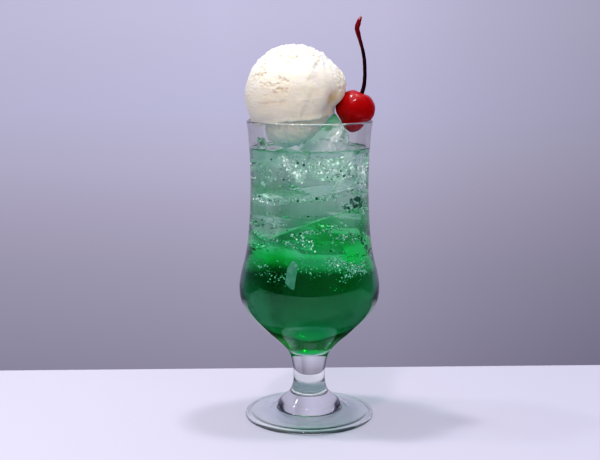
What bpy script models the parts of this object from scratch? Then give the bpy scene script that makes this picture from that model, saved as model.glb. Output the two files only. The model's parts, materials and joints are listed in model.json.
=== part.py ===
"""Ice cream float: green soda and ice in a footed glass, with a vanilla scoop and a cherry on its stem.

The frame has its origin under the middle of the glass's foot, +Z up, and +X to the cherry's side.
Sizes are written in millimetres in the constants below and turned into metres where shapes are made.
"""

import math
from typing import Callable, NamedTuple

import bmesh
import bpy
from mathutils import Euler, Matrix, Vector, noise

MM = 0.001
OBJECT_NAME = "ice_cream_float"

# Room between pieces that touch
GAP = 0.3
CUTTER_SWELL = 0.55

# Glass
GLASS_HEIGHT = 179.0
RIM_RADIUS = 36.8
RIM_WALL = 1.4
WAIST_RADIUS = 34.8
BULGE_RADIUS = 41.8
BULGE_HEIGHT = 80.3
STEM_RADIUS = 9.45
STEM_HEIGHT = 25.5
DOME_RADIUS = 19.4
DOME_HEIGHT = 5.2
FOOT_RADIUS = 38.6
FOOT_EDGE = 2.4
FOOT_SLOPE_BREAK = (28.0, 3.9)
CAVITY_FLOOR = 40.3
TURNING_STEPS = 48
OUTLINE_STEP = 1.5
OUTLINE_TOLERANCE = 0.14

# Drink, whose outline leaves the wall's last points out just below the level
DRINK_LEVEL = 162.3
LEVEL_MARGIN = 1.0

# Scoop of ice cream
SCOOP_CENTRE = (-8.8, 0.0, 193.2)
SCOOP_RADIUS = 28.5
SCOOP_SEGMENTS = 64
SCOOP_RINGS = 36
SCOOP_FOOT_CENTRE = (-6.5, 0.0, 180.0)
SCOOP_FOOT_RADII = (17.8, 19.0, 17.0)
SCOOP_FOOT_LEAN = 0.40
SCOOP_FOOT_UNEVENNESS = 0.5
SKIRT_SLOPE = math.radians(-27.0)
SKIRT_DIP = math.radians(10.0)
SKIRT_DIP_AZIMUTH = math.radians(-152.0)
SKIRT_DIP_WIDTH = math.radians(48.0)
SKIRT_RAGGEDNESS = math.radians(2.5)
SKIRT_RAG_SCALE = 3.0
SKIRT_TURN_IN = math.radians(3.0)
SKIRT_TURN_OUT = math.radians(2.0)
SKIRT_LIP = 0.9
SKIRT_LIP_WIDTH = math.radians(4.0)
SCOOP_ROOM = 0.8
LOWER_RIGHT_TUCK = 3.8
FRONT_START = 0.05
FRONT_FULL = 0.45
FOLD_BOTTOM = 190.5
FOLD_TOP = 215.0
FOLD_BOTTOM_X = -2.0
FOLD_SWEEP = 9.5
FOLD_BOW = 3.0
FOLD_FADE = 3.0
FOLD_RIDGE = 0.8
FOLD_RIDGE_SIDE = -2.2
FOLD_RIDGE_WIDTH = 2.4
FOLD_GROOVE = 1.6
FOLD_GROOVE_SIDE = 0.9
FOLD_GROOVE_WIDTH = 1.9
HOLLOW_CENTRE = (13.6, -16.5, 191.5)
HOLLOW_DEPTH = 2.6
HOLLOW_WIDTH = 5.0
LOBE_CENTRE = (18.5, -3.0, 202.0)
LOBE_HEIGHT = 2.2
LOBE_WIDTH = 9.0
TEAR_DEPTH = 1.0
TEAR_WIDTH = 1.4
SWELL_HEIGHT = 0.5
SWELL_SCALE = 0.07
DIMPLE_HEIGHT = 0.35
DIMPLE_SCALE = 0.16
CRUMB_HEIGHT = 1.5
CRUMB_SCALE = 0.33
CRUMB_START = 205.0
CRUMB_FULL = 218.0

# Cherry and its stem
CHERRY_CENTRE = (26.6, 0.0, 185.2)
CHERRY_RADIUS = 11.2
CHERRY_TILT = math.radians(9.0)
CHERRY_TIP_LENGTH = 13.9
CHERRY_TIP_START = math.radians(5.0)
CHERRY_SHOULDER_DEPTH = 1.3
CHERRY_SHOULDER_SLOPE = math.radians(-48.0)
CHERRY_SHOULDER_WIDTH = math.radians(24.0)
CHERRY_OVAL = 0.35
CHERRY_UNEVENNESS = 0.25
CHERRY_UNEVEN_SCALE = 2.2
CHERRY_DIMPLE_DEPTH = 2.2
CHERRY_DIMPLE_RADIUS = 3.6
CHERRY_DIMPLE_LEAN = math.radians(14.0)
CHERRY_SEGMENTS = 32
CHERRY_RINGS = 20
STEM_TUBE_RADIUS = 1.05
STEM_STEP = 5.0

# Ice that rises out of the drink
ICE_BEVEL = 0.8
PEAK_APEX = (14.9, 0.0, 183.4)
PEAK_CORNER = (21.0, 0.0, 172.8)
PEAK_CENTRE = (3.0, 1.0, 160.5)
PEAK_SIZE = (40.0, 30.0, 48.0)
LEFT_CENTRE = (-27.6, -8.3, 154.3)
LEFT_SIZE = (4.8, 7.6, 29.6)
PEAK_TURN = (0.0, 0.0, 4.0)
LEFT_TURN = (3.0, 2.0, 14.0)


class Station(NamedTuple):
    """A place on a turned outline: the radius and the height, in millimetres."""

    radius: float
    height: float


class Tear(NamedTuple):
    """A level tear in the scoop: its middle, seen from the front, and half its length."""

    x: float
    z: float
    half_length: float


class Finish(NamedTuple):
    """Plain look of one material."""

    colour: tuple[float, float, float]
    roughness: float
    transmission: float


class Cut(NamedTuple):
    """A flat fracture: the face that is left looks along the direction, through the given place."""

    direction: tuple[float, float, float]
    through: tuple[float, float, float]


# Tears across the front of the scoop, seen from the front
TEARS = (Tear(-20.8, 201.0, 4.5), Tear(-15.8, 197.7, 2.8), Tear(-20.6, 190.6, 5.5))

# Places that the outside of the glass passes through, from the rim down to the dome of the foot
OUTER_STATIONS = (
    Station(RIM_RADIUS, GLASS_HEIGHT - RIM_WALL / 2),
    Station(35.8, 170.0),
    Station(35.0, 155.5),
    Station(WAIST_RADIUS, 142.0),
    Station(35.1, 128.5),
    Station(36.5, 108.5),
    Station(38.2, 98.2),
    Station(40.8, 87.8),
    Station(BULGE_RADIUS, BULGE_HEIGHT),
    Station(40.9, 72.4),
    Station(36.0, 63.8),
    Station(26.5, 53.8),
    Station(17.0, 45.1),
    Station(12.0, 38.9),
    Station(10.2, 32.7),
    Station(STEM_RADIUS, STEM_HEIGHT),
    Station(9.9, 19.5),
    Station(11.9, 14.8),
    Station(15.0, 11.6),
    Station(18.5, 8.4),
    Station(DOME_RADIUS, DOME_HEIGHT),
)

# Places that the inside of the glass passes through, from the cavity's floor up to the rim
INNER_STATIONS = (
    Station(0.0, CAVITY_FLOOR),
    Station(6.2, 41.9),
    Station(11.0, 46.2),
    Station(19.3, 53.8),
    Station(31.0, 63.8),
    Station(37.1, 72.4),
    Station(38.7, BULGE_HEIGHT),
    Station(37.9, 87.8),
    Station(35.9, 98.2),
    Station(34.4, 108.5),
    Station(33.3, 128.5),
    Station(33.1, 142.0),
    Station(33.35, 155.5),
    Station(34.3, 170.0),
    Station(RIM_RADIUS - RIM_WALL, GLASS_HEIGHT - RIM_WALL / 2),
)

# Fractures of the big lump of ice, starting with the face that the scoop sinks into
PEAK_CUTS = (
    Cut((-0.70, -0.06, 0.71), PEAK_APEX),
    Cut((0.858, 0.05, 0.512), PEAK_CORNER),
    Cut((0.10, -0.80, 0.59), (14.9, -2.5, 183.4)),
    Cut((0.05, 0.80, 0.60), (14.9, 3.5, 183.4)),
    Cut((0.80, -0.60, 0.05), (20.2, -9.0, 165.0)),
    Cut((0.72, 0.68, 0.10), (20.2, 10.0, 165.0)),
    Cut((-0.30, -0.90, 0.28), (-2.0, -14.0, 160.0)),
    Cut((-0.55, -0.45, -0.70), (-13.0, -8.0, 144.0)),
    Cut((0.60, 0.20, -0.77), (18.0, 3.0, 143.0)),
    Cut((-0.35, 0.93, 0.12), (-6.0, 14.5, 158.0)),
)

# Fractures of the slim block by the left wall
LEFT_CUTS = (
    Cut((0.55, -0.10, 0.83), (-26.0, -8.3, 168.4)),
    Cut((-0.86, -0.50, 0.0), (-27.8, -16.2, 158.0)),
    Cut((-0.97, -0.22, 0.0), (-31.4, -7.1, 158.0)),
    Cut((0.30, 0.20, -0.93), (-28.0, -8.5, 141.5)),
)

# Middle line of the cherry's stem, from its seat up to the broken end, with its thickness there
STEM_ROUTE = (
    ((29.9, 0.0, 192.8), 1.2),
    ((31.5, 0.3, 198.5), 1.1),
    ((32.0, 0.5, 205.0), 1.0),
    ((31.7, 0.5, 212.0), 1.0),
    ((30.8, 0.4, 218.0), 1.0),
    ((29.4, 0.2, 223.3), 1.0),
    ((27.9, 0.0, 228.3), 1.2),
    ((27.3, 0.0, 231.4), 1.35),
    ((28.1, 0.2, 234.8), 1.35),
    ((29.7, 0.4, 238.0), 0.6),
)

GLASS_FINISH = Finish((0.90, 0.94, 0.96), 0.02, 1.0)
DRINK_FINISH = Finish((0.02, 0.42, 0.16), 0.02, 0.6)
ICE_FINISH = Finish((0.72, 0.88, 0.84), 0.06, 0.8)
SCOOP_FINISH = Finish((0.93, 0.88, 0.79), 0.55, 0.0)
CHERRY_FINISH = Finish((0.55, 0.01, 0.01), 0.18, 0.0)
STEM_FINISH = Finish((0.10, 0.02, 0.02), 0.45, 0.0)


def clear_scene() -> None:
    """Remove every object that the scene starts with."""
    for item in list(bpy.data.objects):
        bpy.data.objects.remove(item, do_unlink=True)


def make_collection(name: str) -> bpy.types.Collection:
    """Add a collection to the scene and return it."""
    collection = bpy.data.collections.new(name)
    bpy.context.scene.collection.children.link(collection)
    return collection


def make_material(name: str, finish: Finish) -> bpy.types.Material:
    """Return a Principled material with the finish's colour, roughness and clearness."""
    material = bpy.data.materials.new(name)
    material.use_nodes = True
    shader = material.node_tree.nodes["Principled BSDF"]
    shader.inputs["Base Color"].default_value = (*finish.colour, 1.0)
    shader.inputs["Roughness"].default_value = finish.roughness
    shader.inputs["Metallic"].default_value = 0.0
    shader.inputs["Transmission Weight"].default_value = finish.transmission
    return material


def add_mesh(name: str, mesh: bpy.types.Mesh, collection: bpy.types.Collection) -> bpy.types.Object:
    """Put a mesh into the scene as an object of the given name."""
    item = bpy.data.objects.new(name, mesh)
    collection.objects.link(item)
    return item


def smooth_points(places: list[Vector], longest: float) -> list[Vector]:
    """Return points on a smooth curve through the places, no further apart than the longest step.

    The curve is a Catmull-Rom spline whose tangents follow the distance between places, so that
    uneven spacing makes no loops.
    """
    first = places[0] * 2 - places[1]
    last = places[-1] * 2 - places[-2]
    padded = [first, *places, last]
    points = [places[0].copy()]
    for before, start, end, after in zip(padded, padded[1:], padded[2:], padded[3:]):
        knots = [0.0]
        for here, there in ((before, start), (start, end), (end, after)):
            knots.append(knots[-1] + math.sqrt((there - here).length))
        steps = max(1, math.ceil((end - start).length / longest))
        for step in range(1, steps + 1):
            t = knots[1] + (knots[2] - knots[1]) * step / steps
            layer = [before, start, end, after]
            for width in (1, 2, 3):
                blended = []
                for low, (here, there) in enumerate(zip(layer, layer[1:])):
                    left = knots[low] if width < 3 else knots[1]
                    right = knots[low + width] if width < 3 else knots[2]
                    blended.append(here.lerp(there, (t - left) / (right - left)))
                layer = blended
            points.append(layer[0])
    return points


def distance_to_chord(place: Vector, start: Vector, end: Vector) -> float:
    """Return how far a place lies from the straight line between two others."""
    chord = (end - start).normalized()
    offset = place - start
    return (offset - chord * offset.dot(chord)).length


def thinned(points: list[Vector], tolerance: float) -> list[Vector]:
    """Return the fewest of the points that keep the outline within the tolerance."""
    kept = [points[0]]
    start = 0
    while start < len(points) - 1:
        end = start + 1
        while end + 1 < len(points):
            passed = points[start + 1 : end + 1]
            strays = [distance_to_chord(place, points[start], points[end + 1]) for place in passed]
            if max(strays) > tolerance:
                break
            end += 1
        kept.append(points[end])
        start = end
    return kept


def turned_outline(stations: tuple[Station, ...]) -> list[Vector]:
    """Return the smooth outline through the stations, as points with x the radius and z the height."""
    places = [Vector((station.radius, 0.0, station.height)) for station in stations]
    return thinned(smooth_points(places, OUTLINE_STEP), OUTLINE_TOLERANCE)


def turn(name: str, outline: list[Vector], collection: bpy.types.Collection) -> bpy.types.Object:
    """Turn an outline about the Z axis with a Screw modifier."""
    mesh = bpy.data.meshes.new(name)
    edges = [(index, index + 1) for index in range(len(outline) - 1)]
    mesh.from_pydata([point * MM for point in outline], edges, [])
    item = add_mesh(name, mesh, collection)
    screw = item.modifiers.new("Turn", "SCREW")
    screw.axis = "Z"
    screw.steps = TURNING_STEPS
    screw.render_steps = TURNING_STEPS
    screw.use_merge_vertices = True
    screw.merge_threshold = 0.00001
    screw.use_smooth_shade = True
    return item


def apply_modifiers(item: bpy.types.Object) -> None:
    """Turn an object's modifiers into its own mesh."""
    graph = bpy.context.evaluated_depsgraph_get()
    finished = bpy.data.meshes.new_from_object(item.evaluated_get(graph))
    item.modifiers.clear()
    item.data = finished


def hide_cutter(cutter: bpy.types.Object) -> bpy.types.Object:
    """Keep a cutter out of renders, show it as a wire, and return it."""
    cutter.hide_render = True
    cutter.display_type = "WIRE"
    return cutter


def make_cutter(source: bpy.types.Object, swell: float, collection: bpy.types.Collection) -> bpy.types.Object:
    """Copy an object as a cutter that is larger by the swell on every side."""
    cutter = source.copy()
    cutter.data = source.data.copy()
    cutter.name = source.name + "_cutter"
    collection.objects.link(cutter)
    grow = cutter.modifiers.new("Swell", "DISPLACE")
    grow.direction = "NORMAL"
    grow.mid_level = 0.0
    grow.strength = swell * MM
    return hide_cutter(cutter)


def cut_away(item: bpy.types.Object, cutter: bpy.types.Object) -> None:
    """Take the cutter's shape out of the object."""
    cut = item.modifiers.new("Clear_" + cutter.name, "BOOLEAN")
    cut.operation = "DIFFERENCE"
    cut.solver = "EXACT"
    cut.object = cutter


def rounded_edge(middle: Station, radius: float, angles: tuple[float, ...]) -> list[Vector]:
    """Return points round a turned edge's middle, at angles in degrees up from outward."""
    centre = Vector((middle.radius, 0.0, middle.height))
    turns = [math.radians(angle) for angle in angles]
    return [centre + Vector((math.cos(turn), 0.0, math.sin(turn))) * radius for turn in turns]


def build_glass(collection: bpy.types.Collection) -> bpy.types.Object:
    """The pressed glass in one piece: flat foot, dome, short stem, bulging bowl and flared rim."""
    rim_middle = Station(RIM_RADIUS - RIM_WALL / 2, GLASS_HEIGHT - RIM_WALL / 2)
    foot_middle = Station(FOOT_RADIUS - FOOT_EDGE / 2, FOOT_EDGE / 2)
    outline = turned_outline(INNER_STATIONS)
    outline += rounded_edge(rim_middle, RIM_WALL / 2, (135.0, 90.0, 45.0))
    outline += turned_outline(OUTER_STATIONS)
    outline.append(Vector((FOOT_SLOPE_BREAK[0], 0.0, FOOT_SLOPE_BREAK[1])))
    outline += rounded_edge(foot_middle, FOOT_EDGE / 2, (90.0, 45.0, 0.0, -45.0, -90.0))
    outline.append(Vector((0.0, 0.0, 0.0)))
    return turn("glass", outline, collection)


def drink_outline() -> list[Vector]:
    """Return the drink's outline: the cavity's wall less the gap, up to the level."""
    wall = turned_outline(INNER_STATIONS)
    outline = [Vector((0.0, 0.0, CAVITY_FLOOR + GAP))]
    for before, here, after in zip(wall, wall[1:], wall[2:]):
        along = (after - before).normalized()
        inward = Vector((-along.z, 0.0, along.x))
        place = here + inward * GAP
        if place.z >= DRINK_LEVEL - LEVEL_MARGIN:
            break
        outline.append(place)
    below = outline[-1]
    above = here + inward * GAP
    share = (DRINK_LEVEL - below.z) / (above.z - below.z)
    outline.append(below.lerp(above, share))
    outline.append(Vector((0.0, 0.0, DRINK_LEVEL)))
    return outline[::-1]


def build_drink(collection: bpy.types.Collection, cutters: list[bpy.types.Object]) -> bpy.types.Object:
    """The drink up to its level, open where lumps of ice rise out of it."""
    drink = turn("drink", drink_outline(), collection)
    for cutter in cutters:
        cut_away(drink, cutter)
    return drink


def build_ice(
    name: str,
    centre: tuple[float, float, float],
    size: tuple[float, float, float],
    turned: tuple[float, float, float],
    cuts: tuple[Cut, ...],
    collection: bpy.types.Collection,
) -> bpy.types.Object:
    """A lump of ice: a box, turned, with flat fractures taken off it and its edges melted round."""
    mesh = bpy.data.meshes.new(name)
    form = bmesh.new()
    spin = Euler([math.radians(angle) for angle in turned]).to_matrix().to_4x4()
    place = Matrix.Translation(centre) @ spin @ Matrix.Diagonal((*size, 1.0))
    bmesh.ops.create_cube(form, size=1.0, matrix=place)
    for cut in cuts:
        everything = form.verts[:] + form.edges[:] + form.faces[:]
        result = bmesh.ops.bisect_plane(
            form,
            geom=everything,
            plane_co=cut.through,
            plane_no=Vector(cut.direction).normalized(),
            clear_outer=True,
        )
        rim_edges = [part for part in result["geom_cut"] if isinstance(part, bmesh.types.BMEdge)]
        bmesh.ops.contextual_create(form, geom=rim_edges)
    bmesh.ops.bevel(form, geom=form.edges[:], offset=ICE_BEVEL, segments=1, affect="EDGES")
    bmesh.ops.remove_doubles(form, verts=form.verts[:], dist=0.05)
    bmesh.ops.recalc_face_normals(form, faces=form.faces[:])
    bmesh.ops.scale(form, vec=(MM, MM, MM), verts=form.verts[:])
    form.to_mesh(mesh)
    form.free()
    return add_mesh(name, mesh, collection)


def shaped_ball(
    name: str,
    segments: int,
    rings: int,
    shape: Callable[[Vector], Vector],
    collection: bpy.types.Collection,
) -> bpy.types.Object:
    """A ball whose every point is moved by a function from its direction to a place in millimetres."""
    mesh = bpy.data.meshes.new(name)
    form = bmesh.new()
    bmesh.ops.create_uvsphere(form, u_segments=segments, v_segments=rings, radius=1.0)
    for vert in form.verts:
        vert.co = shape(vert.co.normalized()) * MM
    form.to_mesh(mesh)
    form.free()
    mesh.shade_smooth()
    return add_mesh(name, mesh, collection)


def fade(value: float, start: float, end: float) -> float:
    """Return 0 at the start and 1 at the end, with a soft change between."""
    share = min(1.0, max(0.0, (value - start) / (end - start)))
    return share * share * (3.0 - 2.0 * share)


def bump(distance: float, width: float) -> float:
    """Return a round bump that is 1 at no distance and dies away over the width."""
    return math.exp(-((distance / width) ** 2))


def foot_reach(direction: Vector) -> float:
    """Return how far the scoop's narrow foot reaches from the scoop's centre along a direction.

    The foot is an egg that leans to the left as it goes down, so the ray is straightened first.
    """
    straighten = Matrix(((1.0, 0.0, -SCOOP_FOOT_LEAN), (0.0, 1.0, 0.0), (0.0, 0.0, 1.0)))
    shrink = Matrix.Diagonal([1.0 / radius for radius in SCOOP_FOOT_RADII])
    start = shrink @ straighten @ (Vector(SCOOP_CENTRE) - Vector(SCOOP_FOOT_CENTRE))
    heading = shrink @ straighten @ direction
    a = heading.dot(heading)
    b = start.dot(heading)
    c = start.dot(start) - 1.0
    return (-b + math.sqrt(b * b - a * c)) / a


def fold_line(height: float) -> float:
    """Return the x of the fold down the front of the scoop at a height."""
    share = (height - FOLD_BOTTOM) / (FOLD_TOP - FOLD_BOTTOM)
    bow = math.sin(math.pi * min(1.0, 2.0 * max(0.0, share)))
    return FOLD_BOTTOM_X + FOLD_SWEEP * share ** 2 + FOLD_BOW * bow


def scoop_relief(place: Vector, direction: Vector) -> float:
    """Return how far the scoop's surface stands out of the ball at a place: folds, tears and crumbs."""
    front = fade(-direction.y, FRONT_START, FRONT_FULL)
    relief = SWELL_HEIGHT * noise.noise(place * SWELL_SCALE)
    relief += DIMPLE_HEIGHT * noise.noise(place * DIMPLE_SCALE)
    crumbs = fade(place.z, CRUMB_START, CRUMB_FULL)
    relief += CRUMB_HEIGHT * crumbs * noise.noise(place * CRUMB_SCALE)
    above_bottom = fade(place.z, FOLD_BOTTOM - FOLD_FADE, FOLD_BOTTOM + FOLD_FADE)
    below_top = 1.0 - fade(place.z, FOLD_TOP - FOLD_FADE, FOLD_TOP + FOLD_FADE)
    across = place.x - fold_line(place.z)
    fold = FOLD_RIDGE * bump(across - FOLD_RIDGE_SIDE, FOLD_RIDGE_WIDTH)
    fold -= FOLD_GROOVE * bump(across - FOLD_GROOVE_SIDE, FOLD_GROOVE_WIDTH)
    relief += front * above_bottom * below_top * fold
    relief -= HOLLOW_DEPTH * bump((place - Vector(HOLLOW_CENTRE)).length, HOLLOW_WIDTH)
    relief += LOBE_HEIGHT * bump((place - Vector(LOBE_CENTRE)).length, LOBE_WIDTH)
    for tear in TEARS:
        along = max(0.0, abs(place.x - tear.x) - tear.half_length)
        relief -= front * TEAR_DEPTH * bump(along, TEAR_WIDTH) * bump(place.z - tear.z, TEAR_WIDTH)
    return relief


def scoop_shape(direction: Vector) -> Vector:
    """Return the place of the scoop's surface in a direction from its centre."""
    centre = Vector(SCOOP_CENTRE)
    azimuth = math.atan2(direction.y, direction.x)
    slope = math.asin(max(-1.0, min(1.0, direction.z)))
    from_dip = math.remainder(azimuth - SKIRT_DIP_AZIMUTH, 2.0 * math.pi)
    lowest = SKIRT_SLOPE - SKIRT_DIP * bump(from_dip, SKIRT_DIP_WIDTH)
    round_about = Vector((math.cos(azimuth), math.sin(azimuth), 0.0))
    lowest += SKIRT_RAGGEDNESS * noise.noise(round_about * SKIRT_RAG_SCALE)
    on_ball = fade(slope, lowest - SKIRT_TURN_IN, lowest + SKIRT_TURN_OUT)
    surface = centre + direction * SCOOP_RADIUS
    reach = SCOOP_RADIUS + scoop_relief(surface, direction)
    reach += SKIRT_LIP * bump(slope - lowest - SKIRT_TURN_IN, SKIRT_LIP_WIDTH)
    lower_right = fade(direction.x, 0.35, 0.85) * fade(-direction.z, 0.02, 0.30)
    reach -= LOWER_RIGHT_TUCK * lower_right
    foot = foot_reach(direction) + SCOOP_FOOT_UNEVENNESS * noise.noise(surface * DIMPLE_SCALE)
    return centre + direction * (foot + (reach - foot) * on_ball)


def scoop_room_shape(direction: Vector) -> Vector:
    """Return the edge of the room that the scoop takes up in the ice under it."""
    return scoop_shape(direction) + direction * SCOOP_ROOM


def cherry_shape(direction: Vector) -> Vector:
    """Return the place of the cherry's skin in a direction: round, pointed below, dimpled on top."""
    slope = math.asin(max(-1.0, min(1.0, direction.z)))
    downward = fade(-slope, CHERRY_TIP_START, math.radians(90.0))
    sideways = math.cos(slope)
    reach = CHERRY_RADIUS + (CHERRY_TIP_LENGTH - CHERRY_RADIUS) * downward ** 2
    reach -= CHERRY_SHOULDER_DEPTH * bump(slope - CHERRY_SHOULDER_SLOPE, CHERRY_SHOULDER_WIDTH)
    reach += CHERRY_OVAL * math.cos(2.0 * math.atan2(direction.y, direction.x)) * sideways ** 2
    stem_axis = Vector((math.sin(CHERRY_DIMPLE_LEAN), 0.0, math.cos(CHERRY_DIMPLE_LEAN)))
    from_stem = direction.angle(stem_axis) * CHERRY_RADIUS
    reach -= CHERRY_DIMPLE_DEPTH * bump(from_stem, CHERRY_DIMPLE_RADIUS)
    reach += CHERRY_UNEVENNESS * noise.noise(direction * CHERRY_UNEVEN_SCALE)
    upright = direction * reach
    return Vector(CHERRY_CENTRE) + Euler((0.0, CHERRY_TILT, 0.0)).to_matrix() @ upright


def build_stem(collection: bpy.types.Collection, seat: bpy.types.Object) -> bpy.types.Object:
    """The cherry's stem: a bent tube, thicker at its seat in the cherry and at the broken end."""
    places = [Vector((*place, thickness)) for place, thickness in STEM_ROUTE]
    route = smooth_points(places, STEM_STEP)
    curve = bpy.data.curves.new("cherry_stem", "CURVE")
    curve.dimensions = "3D"
    curve.bevel_depth = STEM_TUBE_RADIUS * MM
    curve.bevel_resolution = 2
    curve.use_fill_caps = True
    spline = curve.splines.new("POLY")
    spline.points.add(len(route) - 1)
    for point, place in zip(spline.points, route):
        point.co = (*(place.xyz * MM), 1.0)
        point.radius = place.w
    tube = bpy.data.objects.new("cherry_stem_curve", curve)
    collection.objects.link(tube)
    graph = bpy.context.evaluated_depsgraph_get()
    mesh = bpy.data.meshes.new_from_object(tube.evaluated_get(graph))
    bpy.data.objects.remove(tube, do_unlink=True)
    form = bmesh.new()
    form.from_mesh(mesh)
    bmesh.ops.remove_doubles(form, verts=form.verts[:], dist=0.00001)
    form.to_mesh(mesh)
    form.free()
    mesh.shade_smooth()
    stem = add_mesh("cherry_stem", mesh, collection)
    cut_away(stem, seat)
    apply_modifiers(stem)
    return stem


def dress(item: bpy.types.Object, material: bpy.types.Material) -> None:
    """Give an object its one material."""
    item.data.materials.clear()
    item.data.materials.append(material)


def build_float() -> None:
    """Build every piece of the float, the innermost first."""
    clear_scene()
    pieces = make_collection(OBJECT_NAME)
    cutters = make_collection(OBJECT_NAME + "_cutters")
    ice_material = make_material("clear_ice", ICE_FINISH)

    glass = build_glass(pieces)
    dress(glass, make_material("clear_glass", GLASS_FINISH))

    cherry = shaped_ball("cherry", CHERRY_SEGMENTS, CHERRY_RINGS, cherry_shape, pieces)
    dress(cherry, make_material("cherry_skin", CHERRY_FINISH))
    cherry_cutter = make_cutter(cherry, CUTTER_SWELL, cutters)
    stem = build_stem(pieces, cherry_cutter)
    dress(stem, make_material("stem_bark", STEM_FINISH))

    peak = build_ice("ice_peak", PEAK_CENTRE, PEAK_SIZE, PEAK_TURN, PEAK_CUTS, pieces)
    cut_away(peak, cherry_cutter)
    apply_modifiers(peak)
    left = build_ice("ice_left", LEFT_CENTRE, LEFT_SIZE, LEFT_TURN, LEFT_CUTS, pieces)
    for lump in (peak, left):
        dress(lump, ice_material)
    peak_cutter = make_cutter(peak, CUTTER_SWELL, cutters)
    left_cutter = make_cutter(left, CUTTER_SWELL, cutters)

    scoop = shaped_ball("ice_cream", SCOOP_SEGMENTS, SCOOP_RINGS, scoop_shape, pieces)
    for cutter in (cherry_cutter, left_cutter):
        cut_away(scoop, cutter)
    apply_modifiers(scoop)
    room = shaped_ball("ice_cream_room", SCOOP_SEGMENTS, SCOOP_RINGS, scoop_room_shape, cutters)
    cut_away(peak, hide_cutter(room))
    apply_modifiers(peak)
    dress(scoop, make_material("vanilla_ice_cream", SCOOP_FINISH))

    drink = build_drink(pieces, [peak_cutter, left_cutter])
    dress(drink, make_material("green_soda", DRINK_FINISH))


build_float()
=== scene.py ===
"""Dresses the packed ice cream float: a glass of green soda and ice, a vanilla scoop and a cherry.

Sizes stand in millimetres in the fields of the classes, in the frame of the CAD model. They are turned into
metres where a mesh, a lamp or a pattern is made.
"""

from __future__ import annotations

import json
import logging
import math
import random
from dataclasses import dataclass
from enum import Enum
from typing import Any, Callable, Iterator, Mapping, NamedTuple, Sequence

import bmesh
import bpy
from mathutils import Euler, Matrix, Vector, noise

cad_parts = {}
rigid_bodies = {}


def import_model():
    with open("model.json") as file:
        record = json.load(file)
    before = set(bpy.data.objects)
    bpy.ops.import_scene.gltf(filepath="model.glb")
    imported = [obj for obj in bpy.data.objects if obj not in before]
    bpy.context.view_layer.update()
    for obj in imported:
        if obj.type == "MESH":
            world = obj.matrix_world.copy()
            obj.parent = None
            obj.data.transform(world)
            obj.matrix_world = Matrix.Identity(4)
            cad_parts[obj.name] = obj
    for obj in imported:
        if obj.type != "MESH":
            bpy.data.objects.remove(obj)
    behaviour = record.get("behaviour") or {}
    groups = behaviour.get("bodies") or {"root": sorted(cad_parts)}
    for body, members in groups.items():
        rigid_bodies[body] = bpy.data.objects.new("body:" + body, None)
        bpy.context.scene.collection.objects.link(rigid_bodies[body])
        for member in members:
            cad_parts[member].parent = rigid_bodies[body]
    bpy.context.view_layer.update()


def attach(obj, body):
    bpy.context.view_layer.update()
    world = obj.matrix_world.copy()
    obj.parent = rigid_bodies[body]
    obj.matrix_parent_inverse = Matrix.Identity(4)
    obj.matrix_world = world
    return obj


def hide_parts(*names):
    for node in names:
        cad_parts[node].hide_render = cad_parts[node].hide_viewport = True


MM = 0.001
BODY = "root"
IMAGE_WIDTH = 600
LOG = logging.getLogger("ice_cream_float")

Colour = tuple[float, float, float, float]
Place = tuple[float, float, float]
Pair = tuple[float, float]
Pairs = tuple[Pair, ...]
Shape = Callable[[Vector], Vector]
Mesh = bpy.types.Mesh
Tree = bpy.types.NodeTree
Socket = bpy.types.NodeSocket

X_AXIS: Place = (1.0, 0.0, 0.0)
Y_AXIS: Place = (0.0, 1.0, 0.0)
Z_AXIS: Place = (0.0, 0.0, 1.0)

# How strongly water and ice bend light, and the drink's level in millimetres
WATER_IOR = 1.333
ICE_IOR = 1.31
LEVEL = 162.3

# The sockets of a colour mix: its share, its two colours and its result
MIX_SHARE, MIX_FIRST, MIX_SECOND, MIX_RESULT = 0, 6, 7, 2


# Small tools


def linear(hex_value: str) -> Colour:
    """Turn an sRGB hex value into a linear colour with full alpha.

    Args:
        hex_value: a colour such as "#0D5B2C".

    Returns:
        Red, green, blue and alpha as Blender's shaders read them.
    """
    parts = [int(hex_value[start : start + 2], 16) / 255 for start in (1, 3, 5)]
    lit = [part / 12.92 if part <= 0.04045 else ((part + 0.055) / 1.055) ** 2.4 for part in parts]
    return (lit[0], lit[1], lit[2], 1.0)


def add_node(tree: Tree, kind: str, inputs: Mapping[Any, Any] | None = None) -> bpy.types.Node:
    """Add a shader node with its settings and links.

    Args:
        tree: the node tree that takes the node.
        kind: the end of the node's type, such as "BsdfPrincipled".
        inputs: a value, or a socket to link, by the name or number of an input or the name of a property.
            "stops" holds the places and colours of a colour ramp.

    Returns:
        The new node.
    """
    node = tree.nodes.new("ShaderNode" + kind)
    for key, value in (inputs or {}).items():
        if key == "stops":
            ramp = node.color_ramp
            while len(ramp.elements) < len(value):
                ramp.elements.new(1.0)
            for element, (position, colour) in zip(ramp.elements, value):
                element.position = position
                element.color = colour
        elif isinstance(value, Socket):
            tree.links.new(value, node.inputs[key])
        elif isinstance(key, int) or key in node.inputs:
            node.inputs[key].default_value = value
        else:
            setattr(node, key, value)
    return node


def placed(name: str, data: bpy.types.ID) -> bpy.types.Object:
    """Return a new object with the given data, linked into the scene."""
    item = bpy.data.objects.new(name, data)
    bpy.context.scene.collection.objects.link(item)
    return item


def fade(value: float, start: float, end: float) -> float:
    """Return 0 at the start and 1 at the end, with a soft change between."""
    share = min(1.0, max(0.0, (value - start) / (end - start)))
    return share * share * (3.0 - 2.0 * share)


def part_way(start: float, end: float, share: float) -> float:
    """Return the value that lies a share of the way from the start to the end."""
    return start + (end - start) * share


def bump(distance: float, width: float) -> float:
    """Return a round bump that is 1 at no distance and dies away over the width."""
    return math.exp(-((distance / width) ** 2))


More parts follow.
